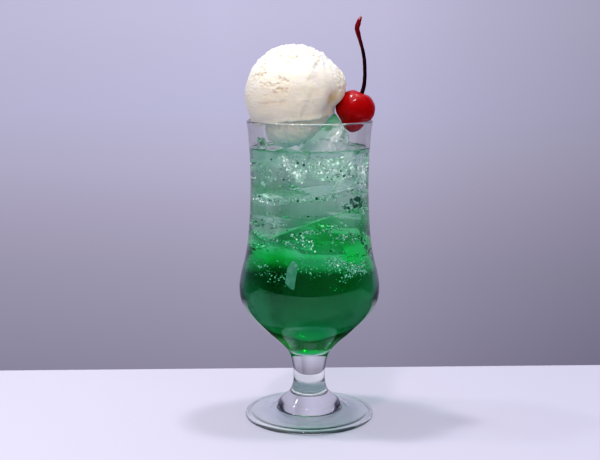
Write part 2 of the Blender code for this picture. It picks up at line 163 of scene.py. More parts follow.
def ripples(place: Vector, layers: Pairs) -> float:
    """Return the sum of layers of noise at a place, each with its height and its fineness."""
    return sum(height * noise.noise(place * fineness) for height, fineness in layers)


def profile(across: float, bumps: Sequence[Place]) -> float:
    """Return the sum of round bumps at a distance, each with its height, its place and its width."""
    return sum(height * bump(across - at, width) for height, at, width in bumps)


def smooth_points(places: Sequence[Vector], longest: float) -> list[Vector]:
    """Return points on a smooth curve through the places.

    Args:
        places: the places that the curve passes through, in order.
        longest: the longest step between two of the points.

    Returns:
        Points on a Catmull-Rom curve whose tangents follow the distance between places.
    """
    first = places[0] * 2 - places[1]
    last = places[-1] * 2 - places[-2]
    padded = [first, *places, last]
    points = [places[0].copy()]
    for before, start, end, after in zip(padded, padded[1:], padded[2:], padded[3:]):
        knots = [0.0]
        for here, there in ((before, start), (start, end), (end, after)):
            knots.append(knots[-1] + math.sqrt((there - here).length))
        steps = max(1, math.ceil((end - start).length / longest))
        for step in range(1, steps + 1):
            t = knots[1] + (knots[2] - knots[1]) * step / steps
            layer = [before, start, end, after]
            for width in (1, 2, 3):
                blended = []
                for low, (here, there) in enumerate(zip(layer, layer[1:])):
                    left = knots[low] if width < 3 else knots[1]
                    right = knots[low + width] if width < 3 else knots[2]
                    blended.append(here.lerp(there, (t - left) / (right - left)))
                layer = blended
            points.append(layer[0])
    return points


def smooth_mesh(name: str, verts: Sequence[Vector], faces: Sequence[Sequence[int]]) -> Mesh:
    """Make a smooth mesh.

    Args:
        name: the mesh's name.
        verts: its corners, in metres.
        faces: the numbers of each face's corners.

    Returns:
        The mesh.
    """
    mesh = bpy.data.meshes.new(name)
    mesh.from_pydata(verts, [], faces)
    mesh.shade_smooth()
    return mesh


def quads(rows: Sequence[Sequence[Any]], closed: bool = False) -> Iterator[tuple[Any, Any, Any, Any]]:
    """Walk over the cells between rows of corners.

    Args:
        rows: the rows, all equally long.
        closed: whether each row is a ring, whose last corner is followed by its first.

    Yields:
        Each cell's corners: two of one row, then the two beside them in the next row, in a round.
    """
    for low, high in zip(rows, rows[1:]):
        for here in range(len(low) if closed else len(low) - 1):
            after = (here + 1) % len(low)
            yield low[here], low[after], high[after], high[here]


def written(form: bmesh.types.BMesh, mesh: Mesh) -> Mesh:
    """Write a form into a mesh, free the form and return the mesh."""
    form.to_mesh(mesh)
    form.free()
    return mesh


def turned_mesh(name: str, outline: Sequence[Vector], steps: int) -> Mesh:
    """Turn an outline about the Z axis.

    Args:
        name: the mesh's name.
        outline: points in millimetres, with x the radius and z the height. The shape's outside lies to the
            right of the way that they run.
        steps: how many steps the turn has.

    Returns:
        A mesh in metres, smooth all over.
    """
    verts: list[Vector] = []
    rings: list[list[int]] = []
    for point in outline:
        if point.x < 1e-6:
            rings.append([len(verts)] * steps)
            verts.append(Vector((0.0, 0.0, point.z)) * MM)
            continue
        rings.append([len(verts) + step for step in range(steps)])
        for step in range(steps):
            angle = math.tau * step / steps
            verts.append(Vector((point.x * math.cos(angle), point.x * math.sin(angle), point.z)) * MM)
    # A ring on the axis is one point, so its faces have three corners
    faces = [tuple(dict.fromkeys((a, d, c, b))) for a, b, c, d in quads(rings, closed=True)]
    return smooth_mesh(name, verts, faces)


def ball_mesh(name: str, cells: int, shape: Shape) -> Mesh:
    """Make a ball without poles, six grids blown round, whose every point a function then moves.

    Args:
        name: the mesh's name.
        cells: how many cells each side of a grid has.
        shape: the place, in millimetres, of the surface in a direction from the ball's middle.

    Returns:
        A mesh in metres, smooth all over, with normals that point outward.
    """
    verts: list[Vector] = []
    index: dict[tuple[int, int, int], int] = {}
    faces = []
    half = cells / 2.0
    for axis in range(3):
        for side in (0, cells):
            grid = []
            for row in range(cells + 1):
                line = []
                for column in range(cells + 1):
                    key = [0, 0, 0]
                    key[axis] = side
                    key[(axis + 1) % 3] = column
                    key[(axis + 2) % 3] = row
                    spot = (key[0], key[1], key[2])
                    if spot not in index:
                        index[spot] = len(verts)
                        cube = [math.tan(math.pi / 4.0 * (value / half - 1.0)) for value in key]
                        verts.append(shape(Vector(cube).normalized()) * MM)
                    line.append(index[spot])
                grid.append(line)
            faces += [quad if side else quad[::-1] for quad in quads(grid)]
    return smooth_mesh(name, verts, faces)


def crowd_mesh(
    name: str, bits: Sequence[tuple[Vector, Matrix]], subdivisions: int = 2
) -> Mesh:
    """Make many small balls or splinters as one mesh.

    Args:
        name: the mesh's name.
        bits: each bit's middle, and the matrix that turns a ball of radius 1 into it, in millimetres.
        subdivisions: 2 for smooth balls, 1 for splinters with flat faces.

    Returns:
        A mesh in metres.
    """
    pattern = bmesh.new()
    bmesh.ops.create_icosphere(pattern, subdivisions=subdivisions, radius=1.0)
    corners = [vert.co.copy() for vert in pattern.verts]
    sides = [[vert.index for vert in face.verts] for face in pattern.faces]
    pattern.free()
    verts: list[Vector] = []
    faces: list[list[int]] = []
    for middle, form in bits:
        start = len(verts)
        verts += [(middle + form @ corner) * MM for corner in corners]
        faces += [[start + index for index in side] for side in sides]
    mesh = smooth_mesh(name, verts, faces)
    if subdivisions == 1:
        mesh.shade_flat()
    return mesh


def flip(mesh: Mesh) -> Mesh:
    """Turn a mesh inside out, as the wall of a hollow in what surrounds it, and return it."""
    mesh.flip_normals()
    return mesh


def show(
    name: str,
    mesh: Mesh,
    material: bpy.types.Material,
    replaces: Sequence[str] = (),
) -> bpy.types.Object:
    """Put a finished piece of the float into the scene.

    Args:
        name: the piece's name.
        mesh: its mesh, in metres.
        material: its one material.
        replaces: the CAD nodes that it stands for.

    Returns:
        The new object.
    """
    mesh.materials.clear()
    mesh.materials.append(material)
    piece = placed(name, mesh)
    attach(piece, BODY)
    if replaces:
        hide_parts(*replaces)
    LOG.info("%s: %d faces", name, len(mesh.polygons))
    return piece


# Patterns, which the finishes are put together from


class Pattern:
    """Something that varies over a surface, built as shader nodes."""

    def build(self, tree: Tree, place: Socket) -> Socket:
        """Add the pattern's nodes.

        Args:
            tree: the node tree that takes them.
            place: the socket with the place's coordinates, in metres.

        Returns:
            The socket that carries the pattern. Each kind of pattern below is built in the same way.
        """
        raise NotImplementedError


@dataclass(frozen=True)
class Patches(Pattern):
    """Soft patches of a size in millimetres, with layers of finer ones in them.

    They are drawn out along Z where its scale is below 1.
    """

    size: float
    detail: float
    z_scale: float = 1.0

    def build(self, tree: Tree, place: Socket) -> Socket:
        """Return the patches, from 0 to 1."""
        if self.z_scale != 1.0:
            scale = (1.0, 1.0, self.z_scale)
            place = add_node(tree, "Mapping", {"Scale": scale, 0: place}).outputs[0]
        noise_inputs = {"Scale": 1.0 / (self.size * MM), "Detail": self.detail, "Vector": place}
        return add_node(tree, "TexNoise", noise_inputs).outputs[0]


@dataclass(frozen=True)
class Along(Pattern):
    """How far a place lies along a direction, in metres, pushed to and fro by patches if it has them."""

    direction: Place = Z_AXIS
    patches: Patches | None = None
    sway: float = 0.0

    def build(self, tree: Tree, place: Socket) -> Socket:
        """Return the distance."""
        product = {"operation": "DOT_PRODUCT", 0: place, 1: self.direction}
        along = add_node(tree, "VectorMath", product).outputs["Value"]
        if self.patches is None:
            return along
        pushed = Scaled(self.patches, 2.0 * self.sway * MM, -self.sway * MM).build(tree, place)
        return add_node(tree, "Math", {"operation": "ADD", 0: along, 1: pushed}).outputs[0]


@dataclass(frozen=True)
class Ramp(Pattern):
    """Values that change along a distance: stops of a place and a hex value, a grey or three parts."""

    stops: tuple[tuple[float, str | float | Place], ...]
    along: Along = Along()
    unit: float = MM

    def build(self, tree: Tree, place: Socket) -> Socket:
        """Return the colour or value at the place."""
        low, high = self.stops[0][0], self.stops[-1][0]
        stops = []
        for at, value in self.stops:
            if isinstance(value, float):
                value = (value, value, value)
            colour = linear(value) if isinstance(value, str) else (*value, 1.0)
            stops.append(((at - low) / (high - low), colour))
        span = {"From Min": low * self.unit, "From Max": high * self.unit}
        share = add_node(tree, "MapRange", {**span, "Value": self.along.build(tree, place)})
        return add_node(tree, "ValToRGB", {"stops": stops, 0: share.outputs[0]}).outputs[0]


@dataclass(frozen=True)
class Between(Pattern):
    """A share that rises from 0 to 1 between two places, in millimetres along a direction."""

    start: float
    full: float
    along: Along = Along()

    def build(self, tree: Tree, place: Socket) -> Socket:
        """Return the share."""
        span = {"From Min": self.start * MM, "From Max": self.full * MM}
        return add_node(tree, "MapRange", {**span, "Value": self.along.build(tree, place)}).outputs[0]


@dataclass(frozen=True)
class Marked(Pattern):
    """A share that the mesh carries as an attribute."""

    attribute: str

    def build(self, tree: Tree, place: Socket) -> Socket:
        """Return the share."""
        return add_node(tree, "Attribute", {"attribute_name": self.attribute}).outputs["Fac"]


@dataclass(frozen=True)
class Mirrored(Pattern):
    """1 where something mirrors the surface, and 0 where it is seen straight."""

    def build(self, tree: Tree, place: Socket) -> Socket:
        """Return the share."""
        ray = add_node(tree, "LightPath").outputs
        both = {"operation": "MULTIPLY", 0: ray["Is Glossy Ray"], 1: ray["Is Reflection Ray"]}
        return add_node(tree, "Math", both).outputs[0]


@dataclass(frozen=True)
class Scaled(Pattern):
    """Another pattern times a factor, plus a base."""

    pattern: Pattern
    factor: float
    base: float = 0.0

    def build(self, tree: Tree, place: Socket) -> Socket:
        """Return the product."""
        sum_inputs = {0: self.pattern.build(tree, place), 1: self.factor, 2: self.base}
        return add_node(tree, "Math", {"operation": "MULTIPLY_ADD", **sum_inputs}).outputs[0]


@dataclass(frozen=True)
class Layered(Pattern):
    """A colour with others laid over it, each by the share that a pattern gives it."""

    ground: str
    layers: tuple[tuple[Pattern, str | Pattern], ...]

    def build(self, tree: Tree, place: Socket) -> Socket:
        """Return the colour at the place."""
        colour: Any = linear(self.ground)
        for share, over in self.layers:
            top = over.build(tree, place) if isinstance(over, Pattern) else linear(over)
            kept = {"data_type": "RGBA", MIX_SHARE: share.build(tree, place)}
            mix = add_node(tree, "Mix", {**kept, MIX_FIRST: colour, MIX_SECOND: top})
            colour = mix.outputs[MIX_RESULT]
        return colour


@dataclass(frozen=True)
class Grain(Pattern):
    """A fine relief: its pattern, its height in millimetres and how much of it is kept."""

    pattern: Patches
    height: float
    strength: float = 1.0

    def build(self, tree: Tree, place: Socket) -> Socket:
        """Return the normal of the surface with the relief on it."""
        relief = {"Strength": self.strength, "Distance": self.height * MM}
        return add_node(tree, "Bump", {**relief, "Height": self.pattern.build(tree, place)}).outputs[0]


# Finishes


class LampLight(Enum):
    """What a lamp's light does at a surface."""

    BLOCKED = "the surface throws a full shadow"
    PASSES = "lamps shine through, so that the shadow is pale"


@dataclass(frozen=True)
class Finish:
    """A finish: its name, its shader's inputs as values or patterns, and what lamps do at it.

    The lamp shade is the colour of the lamps' light behind the surface.
    """

    name: str
    inputs: Mapping[str, Any]
    light: LampLight = LampLight.BLOCKED
    lamp_shade: str = "#FFFFFF"
    kind: str = "BsdfPrincipled"
    output: str = "Surface"

    def material(self) -> bpy.types.Material:
        """Build the finish.

        Returns:
            A new material with the finish's one shader, and clear to lamps where they pass.
        """
        material = bpy.data.materials.new(self.name)
        material.use_nodes = True
        tree = material.node_tree
        tree.nodes.clear()
        place = add_node(tree, "TexCoord").outputs["Object"]
        inputs = {
            key: value.build(tree, place) if isinstance(value, Pattern) else value
            for key, value in self.inputs.items()
        }
        shader = add_node(tree, self.kind, inputs).outputs[0]
        if self.light is LampLight.PASSES:
            ray = add_node(tree, "LightPath")
            clear = add_node(tree, "BsdfTransparent", {"Color": linear(self.lamp_shade)})
            for kind in ("Is Diffuse Ray", "Is Shadow Ray"):
                mix = {0: ray.outputs[kind], 1: shader, 2: clear.outputs[0]}
                shader = add_node(tree, "MixShader", mix).outputs[0]
        add_node(tree, "OutputMaterial", {self.output: shader})
        return material


# Soda-lime glass, pressed in a mould and fire-polished: colourless, with very faint soft waves, and a
# brighter glint on its rounded foot edge and rim. Where the drink wets it, it mirrors far less than in air.
DRY_GLOSS = 0.5
WET_GLOSS = 0.06
PRESSED_GLASS = Finish(
    "pressed_soda_lime_glass",
    {
        "Base Color": linear("#FAFBF8"),
        "Roughness": 0.0,
        "IOR": 1.5,
        "Transmission Weight": 1.0,
        "Specular IOR Level": Scaled(Marked("wet"), WET_GLOSS - DRY_GLOSS, DRY_GLOSS),
        "Coat IOR": 2.6,
        "Coat Roughness": 0.45,
        "Coat Weight": Ramp(((0.9, 1.0), (1.9, 0.0), (177.7, 0.0), (178.5, 1.0))),
        "Normal": Grain(Patches(size=16.0, detail=1.0), height=0.012),
    },
    LampLight.PASSES,
    "#E9EDF2",
)

# Melon-green soda water: a clear liquid, pale near the top, deep green below, and a band of painted shade
# where it climbs the glass. Its gloss is low, because nearly all of its skin touches glass and mirrors
# little there.
GREEN_SODA = Finish(
    "green_soda_water",
    {
        "Base Color": Ramp(
            (
                (40.0, "#CFF5DF"), (89.2, "#D2F6E1"), (101.5, "#DDF8E8"), (116.26, "#E8FBF0"),
                # The last two stops paint a band of shade at the level
                (132.25, "#F2FDF7"), (162.385, "#F6FEFA"), (162.754, "#84C2A3"), (163.0, "#84C2A3"),
            )
        ),
        "Roughness": 0.0,
        "IOR": WATER_IOR,
        "Specular IOR Level": 0.12,
        "Transmission Weight": 1.0,
    },
    LampLight.PASSES,
    "#CFE6E2",
)

# The green dye in the liquid, which has sunk. It shows by how far light travels through it. Each stop is a
# height, and how much red, green and blue a metre of the liquid takes out there. It leans and swirls a bit.
DYE_DENSITY = 220.0
DYE_STOPS = (
    (44.0, (200.0, 6.0, 105.0)), (54.0, (72.0, 9.0, 38.0)), (64.0, (62.0, 19.0, 35.0)),
    (72.0, (66.0, 24.0, 41.0)), (80.0, (60.0, 19.0, 38.0)), (86.0, (52.0, 15.0, 33.0)),
    (90.0, (47.0, 8.0, 29.0)), (94.0, (44.0, 0.8, 25.0)), (100.0, (38.0, 0.6, 23.0)),
    (106.0, (40.0, 0.6, 24.0)), (111.0, (34.0, 1.5, 22.0)), (118.0, (26.0, 3.0, 19.0)),
    (126.0, (22.0, 3.5, 16.0)), (134.0, (18.0, 3.0, 14.0)), (142.0, (13.5, 2.0, 10.0)),
    (163.0, (12.0, 1.8, 8.5)),
)
DYE = Finish(
    "green_dye_in_liquid",
    {
        "Density": DYE_DENSITY,
        "Color": Ramp(
            tuple((at, tuple(1.0 - part / DYE_DENSITY for part in taken)) for at, taken in DYE_STOPS),
            Along((0.17, 0.0, 1.0), Patches(size=22.0, detail=2.0), sway=7.0),
        ),
    },
    kind="VolumeAbsorption",
    output="Volume",
)

# A chip of cloudy ice, full of tiny trapped bubbles: pale, half clear and softly veined.
CLOUDY_ICE = Finish(
    "cloudy_ice",
    {
        "Base Color": Layered("#C4E2D0", ((Patches(size=3.0, detail=3.0), "#74B491"),)),
        "Roughness": 0.2,
        "IOR": ICE_IOR,
        "Transmission Weight": 0.45,
    },
    LampLight.PASSES,
    "#DDEBE4",
)

# Scooped vanilla ice cream: soft, matte and a little see-through. It is creamy and mottled, with painted
# light that makes it whiter on top, painted tan shade in its crevices, which the mesh carries, and a soaked
# tint in the glass that is painted pale as painted light.
VANILLA = Finish(
    "scooped_vanilla_ice_cream",
    {
        "Base Color": Layered(
            "#EEE9D7",
            (
                (Patches(size=9.0, detail=3.0), "#E9E1CB"),
                # Painted light whiter on top, painted tan shade in the crevices, and the soaked tint
                # painted pale as painted light
                (Between(192.0, 214.0), "#FDFAF1"),
                (Marked("crevice"), "#CDB07A"),
                (Between(178.0, 163.0), "#FBFCEC"),
            ),
        ),
        "Roughness": 0.55,
        "IOR": 1.35,
        "Subsurface Weight": 0.8,
        "Subsurface Radius": (1.0, 0.8, 0.5),
        "Subsurface Scale": 3.0 * MM,
        "Normal": Grain(Patches(size=0.7, detail=3.0), height=0.10, strength=0.6),
    },
)

# Candied cherry: a wet, taut, deep red skin with fine pits that break up its shine.
CHERRY_SKIN = Finish(
    "candied_cherry_skin",
    {
        "Base Color": Layered("#B2181D", ((Patches(size=6.0, detail=2.0), "#921519"),)),
        "Roughness": 0.42,
        "IOR": 1.4,
        "Specular IOR Level": 0.25,
        "Subsurface Weight": 0.35,
        "Subsurface Radius": (1.0, 0.12, 0.08),
        "Subsurface Scale": 2.0 * MM,
        "Coat Weight": 0.4,
        "Coat Roughness": 0.06,
        "Normal": Grain(Patches(size=1.1, detail=1.0), height=0.10, strength=0.8),
    },
)

# A cherry's stem after candying: dark wine-brown, ridged along its length, redder at the torn end.
RIDGES = Patches(size=0.6, detail=2.0, z_scale=0.15)
STEM_BARK = Finish(
    "candied_cherry_stem",
    {
        "Base Color": Layered("#22090F", ((RIDGES, "#3A1420"), (Between(218.0, 236.0), "#7A1C26"))),
        "Roughness": 0.42,
        "IOR": 1.45,
        "Coat Weight": 0.25,
        "Coat Roughness": 0.3,
        "Normal": Grain(RIDGES, height=0.08, strength=0.7),
    },
)

# White laminate: plain, pale and barely cool, with painted shade that makes it a little greyer to the
# right. In reflections it is painted dimmer, as a polarising filter would make it.
MIRRORED_SHARE = 0.12
KEPT_IN_MIRRORS = Scaled(Mirrored(), MIRRORED_SHARE - 1.0, 1.0)
LAMINATE_WITH_PAINTED_SHADE = Layered("#CBC9D8", ((Between(-170.0, 170.0, Along(X_AXIS)), "#C1BFD1"),))
TABLE_TOP = Finish(
    "white_laminate",
    {
        "Base Color": Layered("#000000", ((KEPT_IN_MIRRORS, LAMINATE_WITH_PAINTED_SHADE),)),
        "Roughness": 0.5,
        "IOR": 1.45,
        "Specular IOR Level": Scaled(KEPT_IN_MIRRORS, 0.5),
    },
)


@dataclass(frozen=True)
class WetIce:
    """Clear ice, melting: smooth, wet, colourless and softly dented, painted green where the drink shows
    through.
    """

    name: str = "wet_clear_ice"
    tint: str = "#F6FCFB"
    painted_drink_green: str = "#C4F0DA"
    clearness: float = 0.72
    ior: float = ICE_IOR
    dent_height: float = 0.18
    # Painted green on the sloping face, standing for the drink seen through the ice
    painted_green_face: Between = Between(111.0, 116.0, Along((-0.70, -0.06, 0.71)))

    def finish(self) -> Finish:
        """Put the ice's finish together.

        Returns:
            A finish that lamps shine through.
        """
        inputs = {
            "Base Color": Layered(self.tint, ((self.painted_green_face, self.painted_drink_green),)),
            "Roughness": 0.01,
            "IOR": self.ior,
            "Transmission Weight": self.clearness,
            "Normal": Grain(Patches(size=5.0, detail=2.0), self.dent_height),
        }
        return Finish(self.name, inputs, LampLight.PASSES, "#EEF6F5")


@dataclass(frozen=True)
class Gas:
    """Gas in the drink or in the ice: clear, with bright glints, and dark rims where light turns back.

    The coat stands for the light that a wall of gas turns back when it meets it at a slant. Part of the
    wall is milky, as a crowd of bubbles too small to draw is. The gathered light stands for the bright
    spots that the glass and the ice throw on it, which the renderer leaves out.
    """

    name: str = "clear_carbonation"
    tint: str = "#FBFFFD"
    ior: float = WATER_IOR
    clearness: float = 0.72
    glint_ior: float = 2.4
    glint_roughness: float = 0.12
    gathered: float = 0.0

    def finish(self) -> Finish:
        """Put the finish of the wall round the gas together.

        Returns:
            A finish that lamps shine through.
        """
        inputs = {
            "Base Color": linear(self.tint),
            "Roughness": 0.03,
            "IOR": self.ior,
            "Transmission Weight": self.clearness,
            "Coat Weight": 1.0,
            "Coat IOR": self.glint_ior,
            "Coat Roughness": self.glint_roughness,
            "Emission Color": linear(self.tint),
            "Emission Strength": self.gathered,
        }
        return Finish(self.name, inputs, LampLight.PASSES)


# The glass


@dataclass(frozen=True)
class FootedGlass:
    """The pressed glass: flat foot, dome, short stem, bulging bowl and flared rim."""

    height: float = 179.0
    rim_radius: float = 36.8
    rim_wall: float = 1.4
    foot_radius: float = 38.6
    foot_edge: float = 2.4
    wet_to: float = 162.0
    wet_margin: float = 0.3
    steps: int = 168
    outline_step: float = 0.9
    outer: Pairs = (
        (36.8, 178.3), (35.8, 170.0), (35.0, 155.5), (34.8, 142.0), (35.1, 128.5), (36.5, 108.5),
        (38.2, 98.2), (40.8, 87.8), (41.8, 80.3), (40.9, 72.4), (36.0, 63.8), (26.5, 53.8),
        (17.0, 45.1), (12.0, 38.9), (10.2, 32.7), (9.45, 25.5), (9.9, 19.5), (11.9, 14.8),
        (15.0, 11.6), (18.5, 8.4), (19.4, 5.2),
    )
    inner: Pairs = (
        (0.0, 40.3), (6.2, 41.9), (11.0, 46.2), (19.3, 53.8), (31.0, 63.8), (37.1, 72.4), (38.7, 80.3),
        (37.9, 87.8), (35.9, 98.2), (34.4, 108.5), (33.3, 128.5), (33.1, 142.0), (33.35, 155.5),
        (34.3, 170.0), (35.4, 178.3),
    )
    foot_rings: Pairs = (
        (22.5, 4.7), (25.0, 4.55), (28.0, 3.9), (34.2, 2.75), (35.4, 2.3), (36.4, 2.42),
    )
    hollow: Pairs = (
        (37.2, 0.0), (36.6, 0.4), (34.5, 0.7), (28.0, 1.5), (19.4, 2.8), (10.0, 3.6), (0.0, 3.8),
    )

    def smooth(self, stations: Sequence[Pair]) -> list[Vector]:
        """Return the smooth outline through stations of radius and height."""
        places = [Vector((radius, 0.0, height)) for radius, height in stations]
        return smooth_points(places, self.outline_step)

    def cavity(self) -> list[Vector]:
        """Return the outline of the inside, from the middle of its floor up to the rim."""
        return self.smooth(self.inner)

    def room(self, height: float) -> float:
        """Measure the inside.

        Args:
            height: a height, in millimetres.

        Returns:
            The radius of the inside there, or 0 below its floor.
        """
        for (low_radius, low), (high_radius, high) in zip(self.inner, self.inner[1:]):
            if low <= height <= high:
                return part_way(low_radius, high_radius, (height - low) / (high - low))
        return 0.0

    def edge(self, centre: Vector, radius: float, first: float, last: float, count: int) -> list[Vector]:
        """Return points round an edge's middle, between two angles in degrees up from outward."""
        turns = [math.radians(first + (last - first) * step / count) for step in range(count + 1)]
        return [centre + Vector((math.cos(turn), 0.0, math.sin(turn))) * radius for turn in turns]

    def build(self) -> None:
        """Build and dress the glass."""
        rim = Vector((self.rim_radius - self.rim_wall / 2, 0.0, self.height - self.rim_wall / 2))
        foot = Vector((self.foot_radius - self.foot_edge / 2, 0.0, self.foot_edge / 2))
        outline = self.cavity()
        outline += self.edge(rim, self.rim_wall / 2, 180.0, 0.0, 8)[1:-1]
        outline += self.smooth(self.outer)
        slope = [
            Vector((self.outer[-1][0], 0.0, self.outer[-1][1])),
            *(Vector((radius, 0.0, height)) for radius, height in self.foot_rings),
            Vector((self.foot_radius - self.foot_edge / 2, 0.0, self.foot_edge)),
        ]
        outline += smooth_points(slope, self.outline_step)[1:-1]
        outline += self.edge(foot, self.foot_edge / 2, 90.0, -90.0, 8)
        outline += self.smooth(self.hollow)
        mesh = turned_mesh("glass", outline, self.steps)
        touched = []
        for vert in mesh.vertices:
            spot = vert.co / MM
            inside = math.hypot(spot.x, spot.y) < self.room(spot.z) + self.wet_margin
            touched.append(1.0 if inside and spot.z < self.wet_to else 0.0)
        mesh.attributes.new("wet", "FLOAT", "POINT").data.foreach_set("value", touched)
        show("pressed_glass", mesh, PRESSED_GLASS.material(), ["glass"])


# The scoop


class Tear(NamedTuple):
    """A tear across the scoop, seen from the front.

    Its fields are the x and z of its middle, half its length, how steeply it rises to the right, its
    depth, and how far below its sharp upper lip the surface comes out again.
    """

    x: float
    z: float
    half_length: float
    rise: float
    depth: float
    run_out: float


class Spot(NamedTuple):
    """A soft round spot: its middle, how strong it is there, and its width."""

    centre: Place
    strength: float
    width: float

    def at(self, place: Vector) -> float:
        """Return how strong the spot is at a place."""
        return self.strength * bump((place - Vector(self.centre)).length, self.width)


@dataclass(frozen=True)
class Scoop:
    """The scoop of vanilla ice cream: a ball with a skirt and a narrow foot, torn and crumbly on top."""

    centre: Place = (-8.8, 0.0, 193.2)
    radius: float = 28.5
    foot_centre: Place = (-6.5, 0.0, 180.0)
    foot_radii: Place = (17.8, 19.0, 17.0)
    foot_lean: float = 0.40
    skirt_slope: float = -27.0
    skirt_dip: float = 10.0
    skirt_dip_azimuth: float = -152.0
    skirt_dip_width: float = 48.0
    skirt_lip: float = 0.9
    lower_right_tuck: float = 3.8
    fold_bottom: float = 190.5
    fold_top: float = 215.0
    fold_softness: float = 3.0
    # Ridges and valleys beside the fold and the lower crease: height, place across it and width
    fold: tuple[Place, ...] = ((0.5, -2.6, 2.8), (-0.5, 1.6, 3.0))
    crease: tuple[Place, ...] = ((0.3, -1.5, 1.6), (-0.35, 1.4, 2.6))
    hollow: Spot = Spot((13.6, -16.5, 191.5), -2.6, 5.0)
    lobe: Spot = Spot((18.5, -3.0, 202.0), 2.2, 9.0)
    crumbly_cheek: Spot = Spot((-27.0, -14.0, 207.0), 0.7, 7.0)
    # Spots of painted tan shade in the hollows
    painted_crevice_shade: tuple[Spot, ...] = (
        Spot((13.6, -16.5, 191.5), 1.0, 4.6),
        Spot((9.5, -14.0, 181.0), 0.6, 2.2),
    )
    # Where something sets in and where it is full: parts of a direction, or places
    facing: Pair = (0.05, 0.45)
    crown: Pair = (205.0, 218.0)
    crumbly_top: Pair = (207.0, 217.0)
    crumbly_lobe_x: Pair = (11.0, 17.0)
    crumbly_lobe_z: Pair = (190.0, 198.0)
    tuck_x: Pair = (0.35, 0.85)
    tuck_z: Pair = (0.02, 0.30)
    crease_bottom: Pair = (177.0, 182.0)
    crease_top: Pair = (188.0, 193.0)
    tear_lip: Pair = (-0.45, 0.5)
    # How far from a tear's line its depth counts, how it dies away past its ends, and its greatest depth
    tear_range: Pair = (4.0, 8.0)
    tear_end: float = 1.6
    deepest_tear: float = 1.2
    tears: tuple[Tear, ...] = (
        Tear(-21.4, 201.2, 4.6, 0.10, 0.9, 1.5),
        Tear(-13.9, 203.6, 2.2, -0.45, 0.8, 1.8),
        Tear(-16.0, 198.0, 3.0, 0.18, 1.1, 1.4),
        Tear(-22.3, 195.4, 1.6, 0.30, 0.7, 1.2),
        Tear(-20.9, 190.8, 5.8, 0.16, 0.9, 0.9),
        Tear(-27.5, 206.3, 2.2, 0.20, 1.1, 1.6),
        Tear(-27.0, 209.7, 1.2, -0.30, 0.9, 1.4),
    )
    # Layers of noise, each with its height in millimetres and how fine it is
    swells: Pairs = ((0.5, 0.07), (0.35, 0.16))
    top_swells: Pairs = ((1.5, 0.33),)
    tear_wander: Pairs = ((1.3, 0.28), (0.8, 0.8))
    tear_breaks: Pairs = ((0.9, 0.62),)
    fold_sway: Pairs = ((1.6, 0.2), (0.6, 0.6))
    fold_breaks: Pairs = ((1.4, 0.2),)
    skirt_rags: Pairs = ((2.5, 3.0), (1.2, 9.0))
    foot_lumps: Pairs = ((0.5, 0.16), (0.8, 0.30), (0.35, 0.7))
    highest_relief: float = 6.0
    ice_gap: float = 0.3
    cells: int = 128

    def foot_reach(self, direction: Vector) -> float:
        """Meet the narrow foot, an ellipsoid that leans.

        Args:
            direction: a direction from the scoop's centre, one long.

        Returns:
            How far the foot reaches along it, in millimetres.
        """
        straighten = Matrix(((1.0, 0.0, -self.foot_lean), (0.0, 1.0, 0.0), (0.0, 0.0, 1.0)))
        shrink = Matrix.Diagonal([1.0 / radius for radius in self.foot_radii])
        start = shrink @ straighten @ (Vector(self.centre) - Vector(self.foot_centre))
        heading = shrink @ straighten @ direction
        a = heading.dot(heading)
        b = start.dot(heading)
        c = start.dot(start) - 1.0
        return (-b + math.sqrt(b * b - a * c)) / a

    def fold_line(self, height: float) -> float:
        """Return the x of the fold down the front at a height."""
        share = (height - self.fold_bottom) / (self.fold_top - self.fold_bottom)
        return -2.0 + 9.5 * share**2 + 3.0 * math.sin(math.pi * min(1.0, 2.0 * max(0.0, share)))

    def tear_depth(self, place: Vector) -> float:
        """Add up the tears at a place on the front.

        Args:
            place: the place, in millimetres.

        Returns:
            How deep it lies in a tear, in millimetres.
        """
        wander = ripples(place, self.tear_wander)
        depth = 0.0
        for tear in self.tears:
            along = max(0.0, abs(place.x - tear.x) - tear.half_length)
            if along > self.tear_range[0] or abs(place.z - tear.z) > self.tear_range[1]:
                continue
            below = tear.z + tear.rise * (place.x - tear.x) + wander - place.z
            # A lip above, broken here and there, and a slow run-out below it
            broken = 0.55 + ripples(place, self.tear_breaks)
            opened = fade(below, *self.tear_lip) * math.exp(-max(0.0, below) / (1.5 * tear.run_out))
            depth += tear.depth * broken * bump(along, self.tear_end) * opened
        return max(0.0, min(self.deepest_tear, depth))

    def roughness_at(self, place: Vector) -> float:
        """Return how crumbly a place is, from 0 to 1: most on top, on the lobe and by the tears."""
        top = fade(place.z, *self.crumbly_top)
        lobe = fade(place.x, *self.crumbly_lobe_x) * fade(place.z, *self.crumbly_lobe_z)
        return min(1.0, top + 0.9 * lobe + self.crumbly_cheek.at(place))

    def relief(self, place: Vector, direction: Vector) -> float:
        """Add up the swells, the fold, the crease, the hollow, the lobe, the tears and the crumbs.

        Args:
            place: a place on the ball, in millimetres.
            direction: the direction in which it lies from the scoop's centre.

        Returns:
            How far the surface stands out of the ball there, in millimetres.
        """
        front = fade(-direction.y, *self.facing)
        relief = ripples(place, self.swells)
        relief += fade(place.z, *self.crown) * ripples(place, self.top_swells)
        soft = self.fold_softness
        above_bottom = fade(place.z, self.fold_bottom - soft, self.fold_bottom + soft)
        below_top = 1.0 - fade(place.z, self.fold_top - soft, self.fold_top + soft)
        across = place.x - self.fold_line(place.z) + ripples(place, self.fold_sway)
        broken = 0.8 + ripples(place, self.fold_breaks)
        relief += front * above_bottom * below_top * profile(across, self.fold) * broken
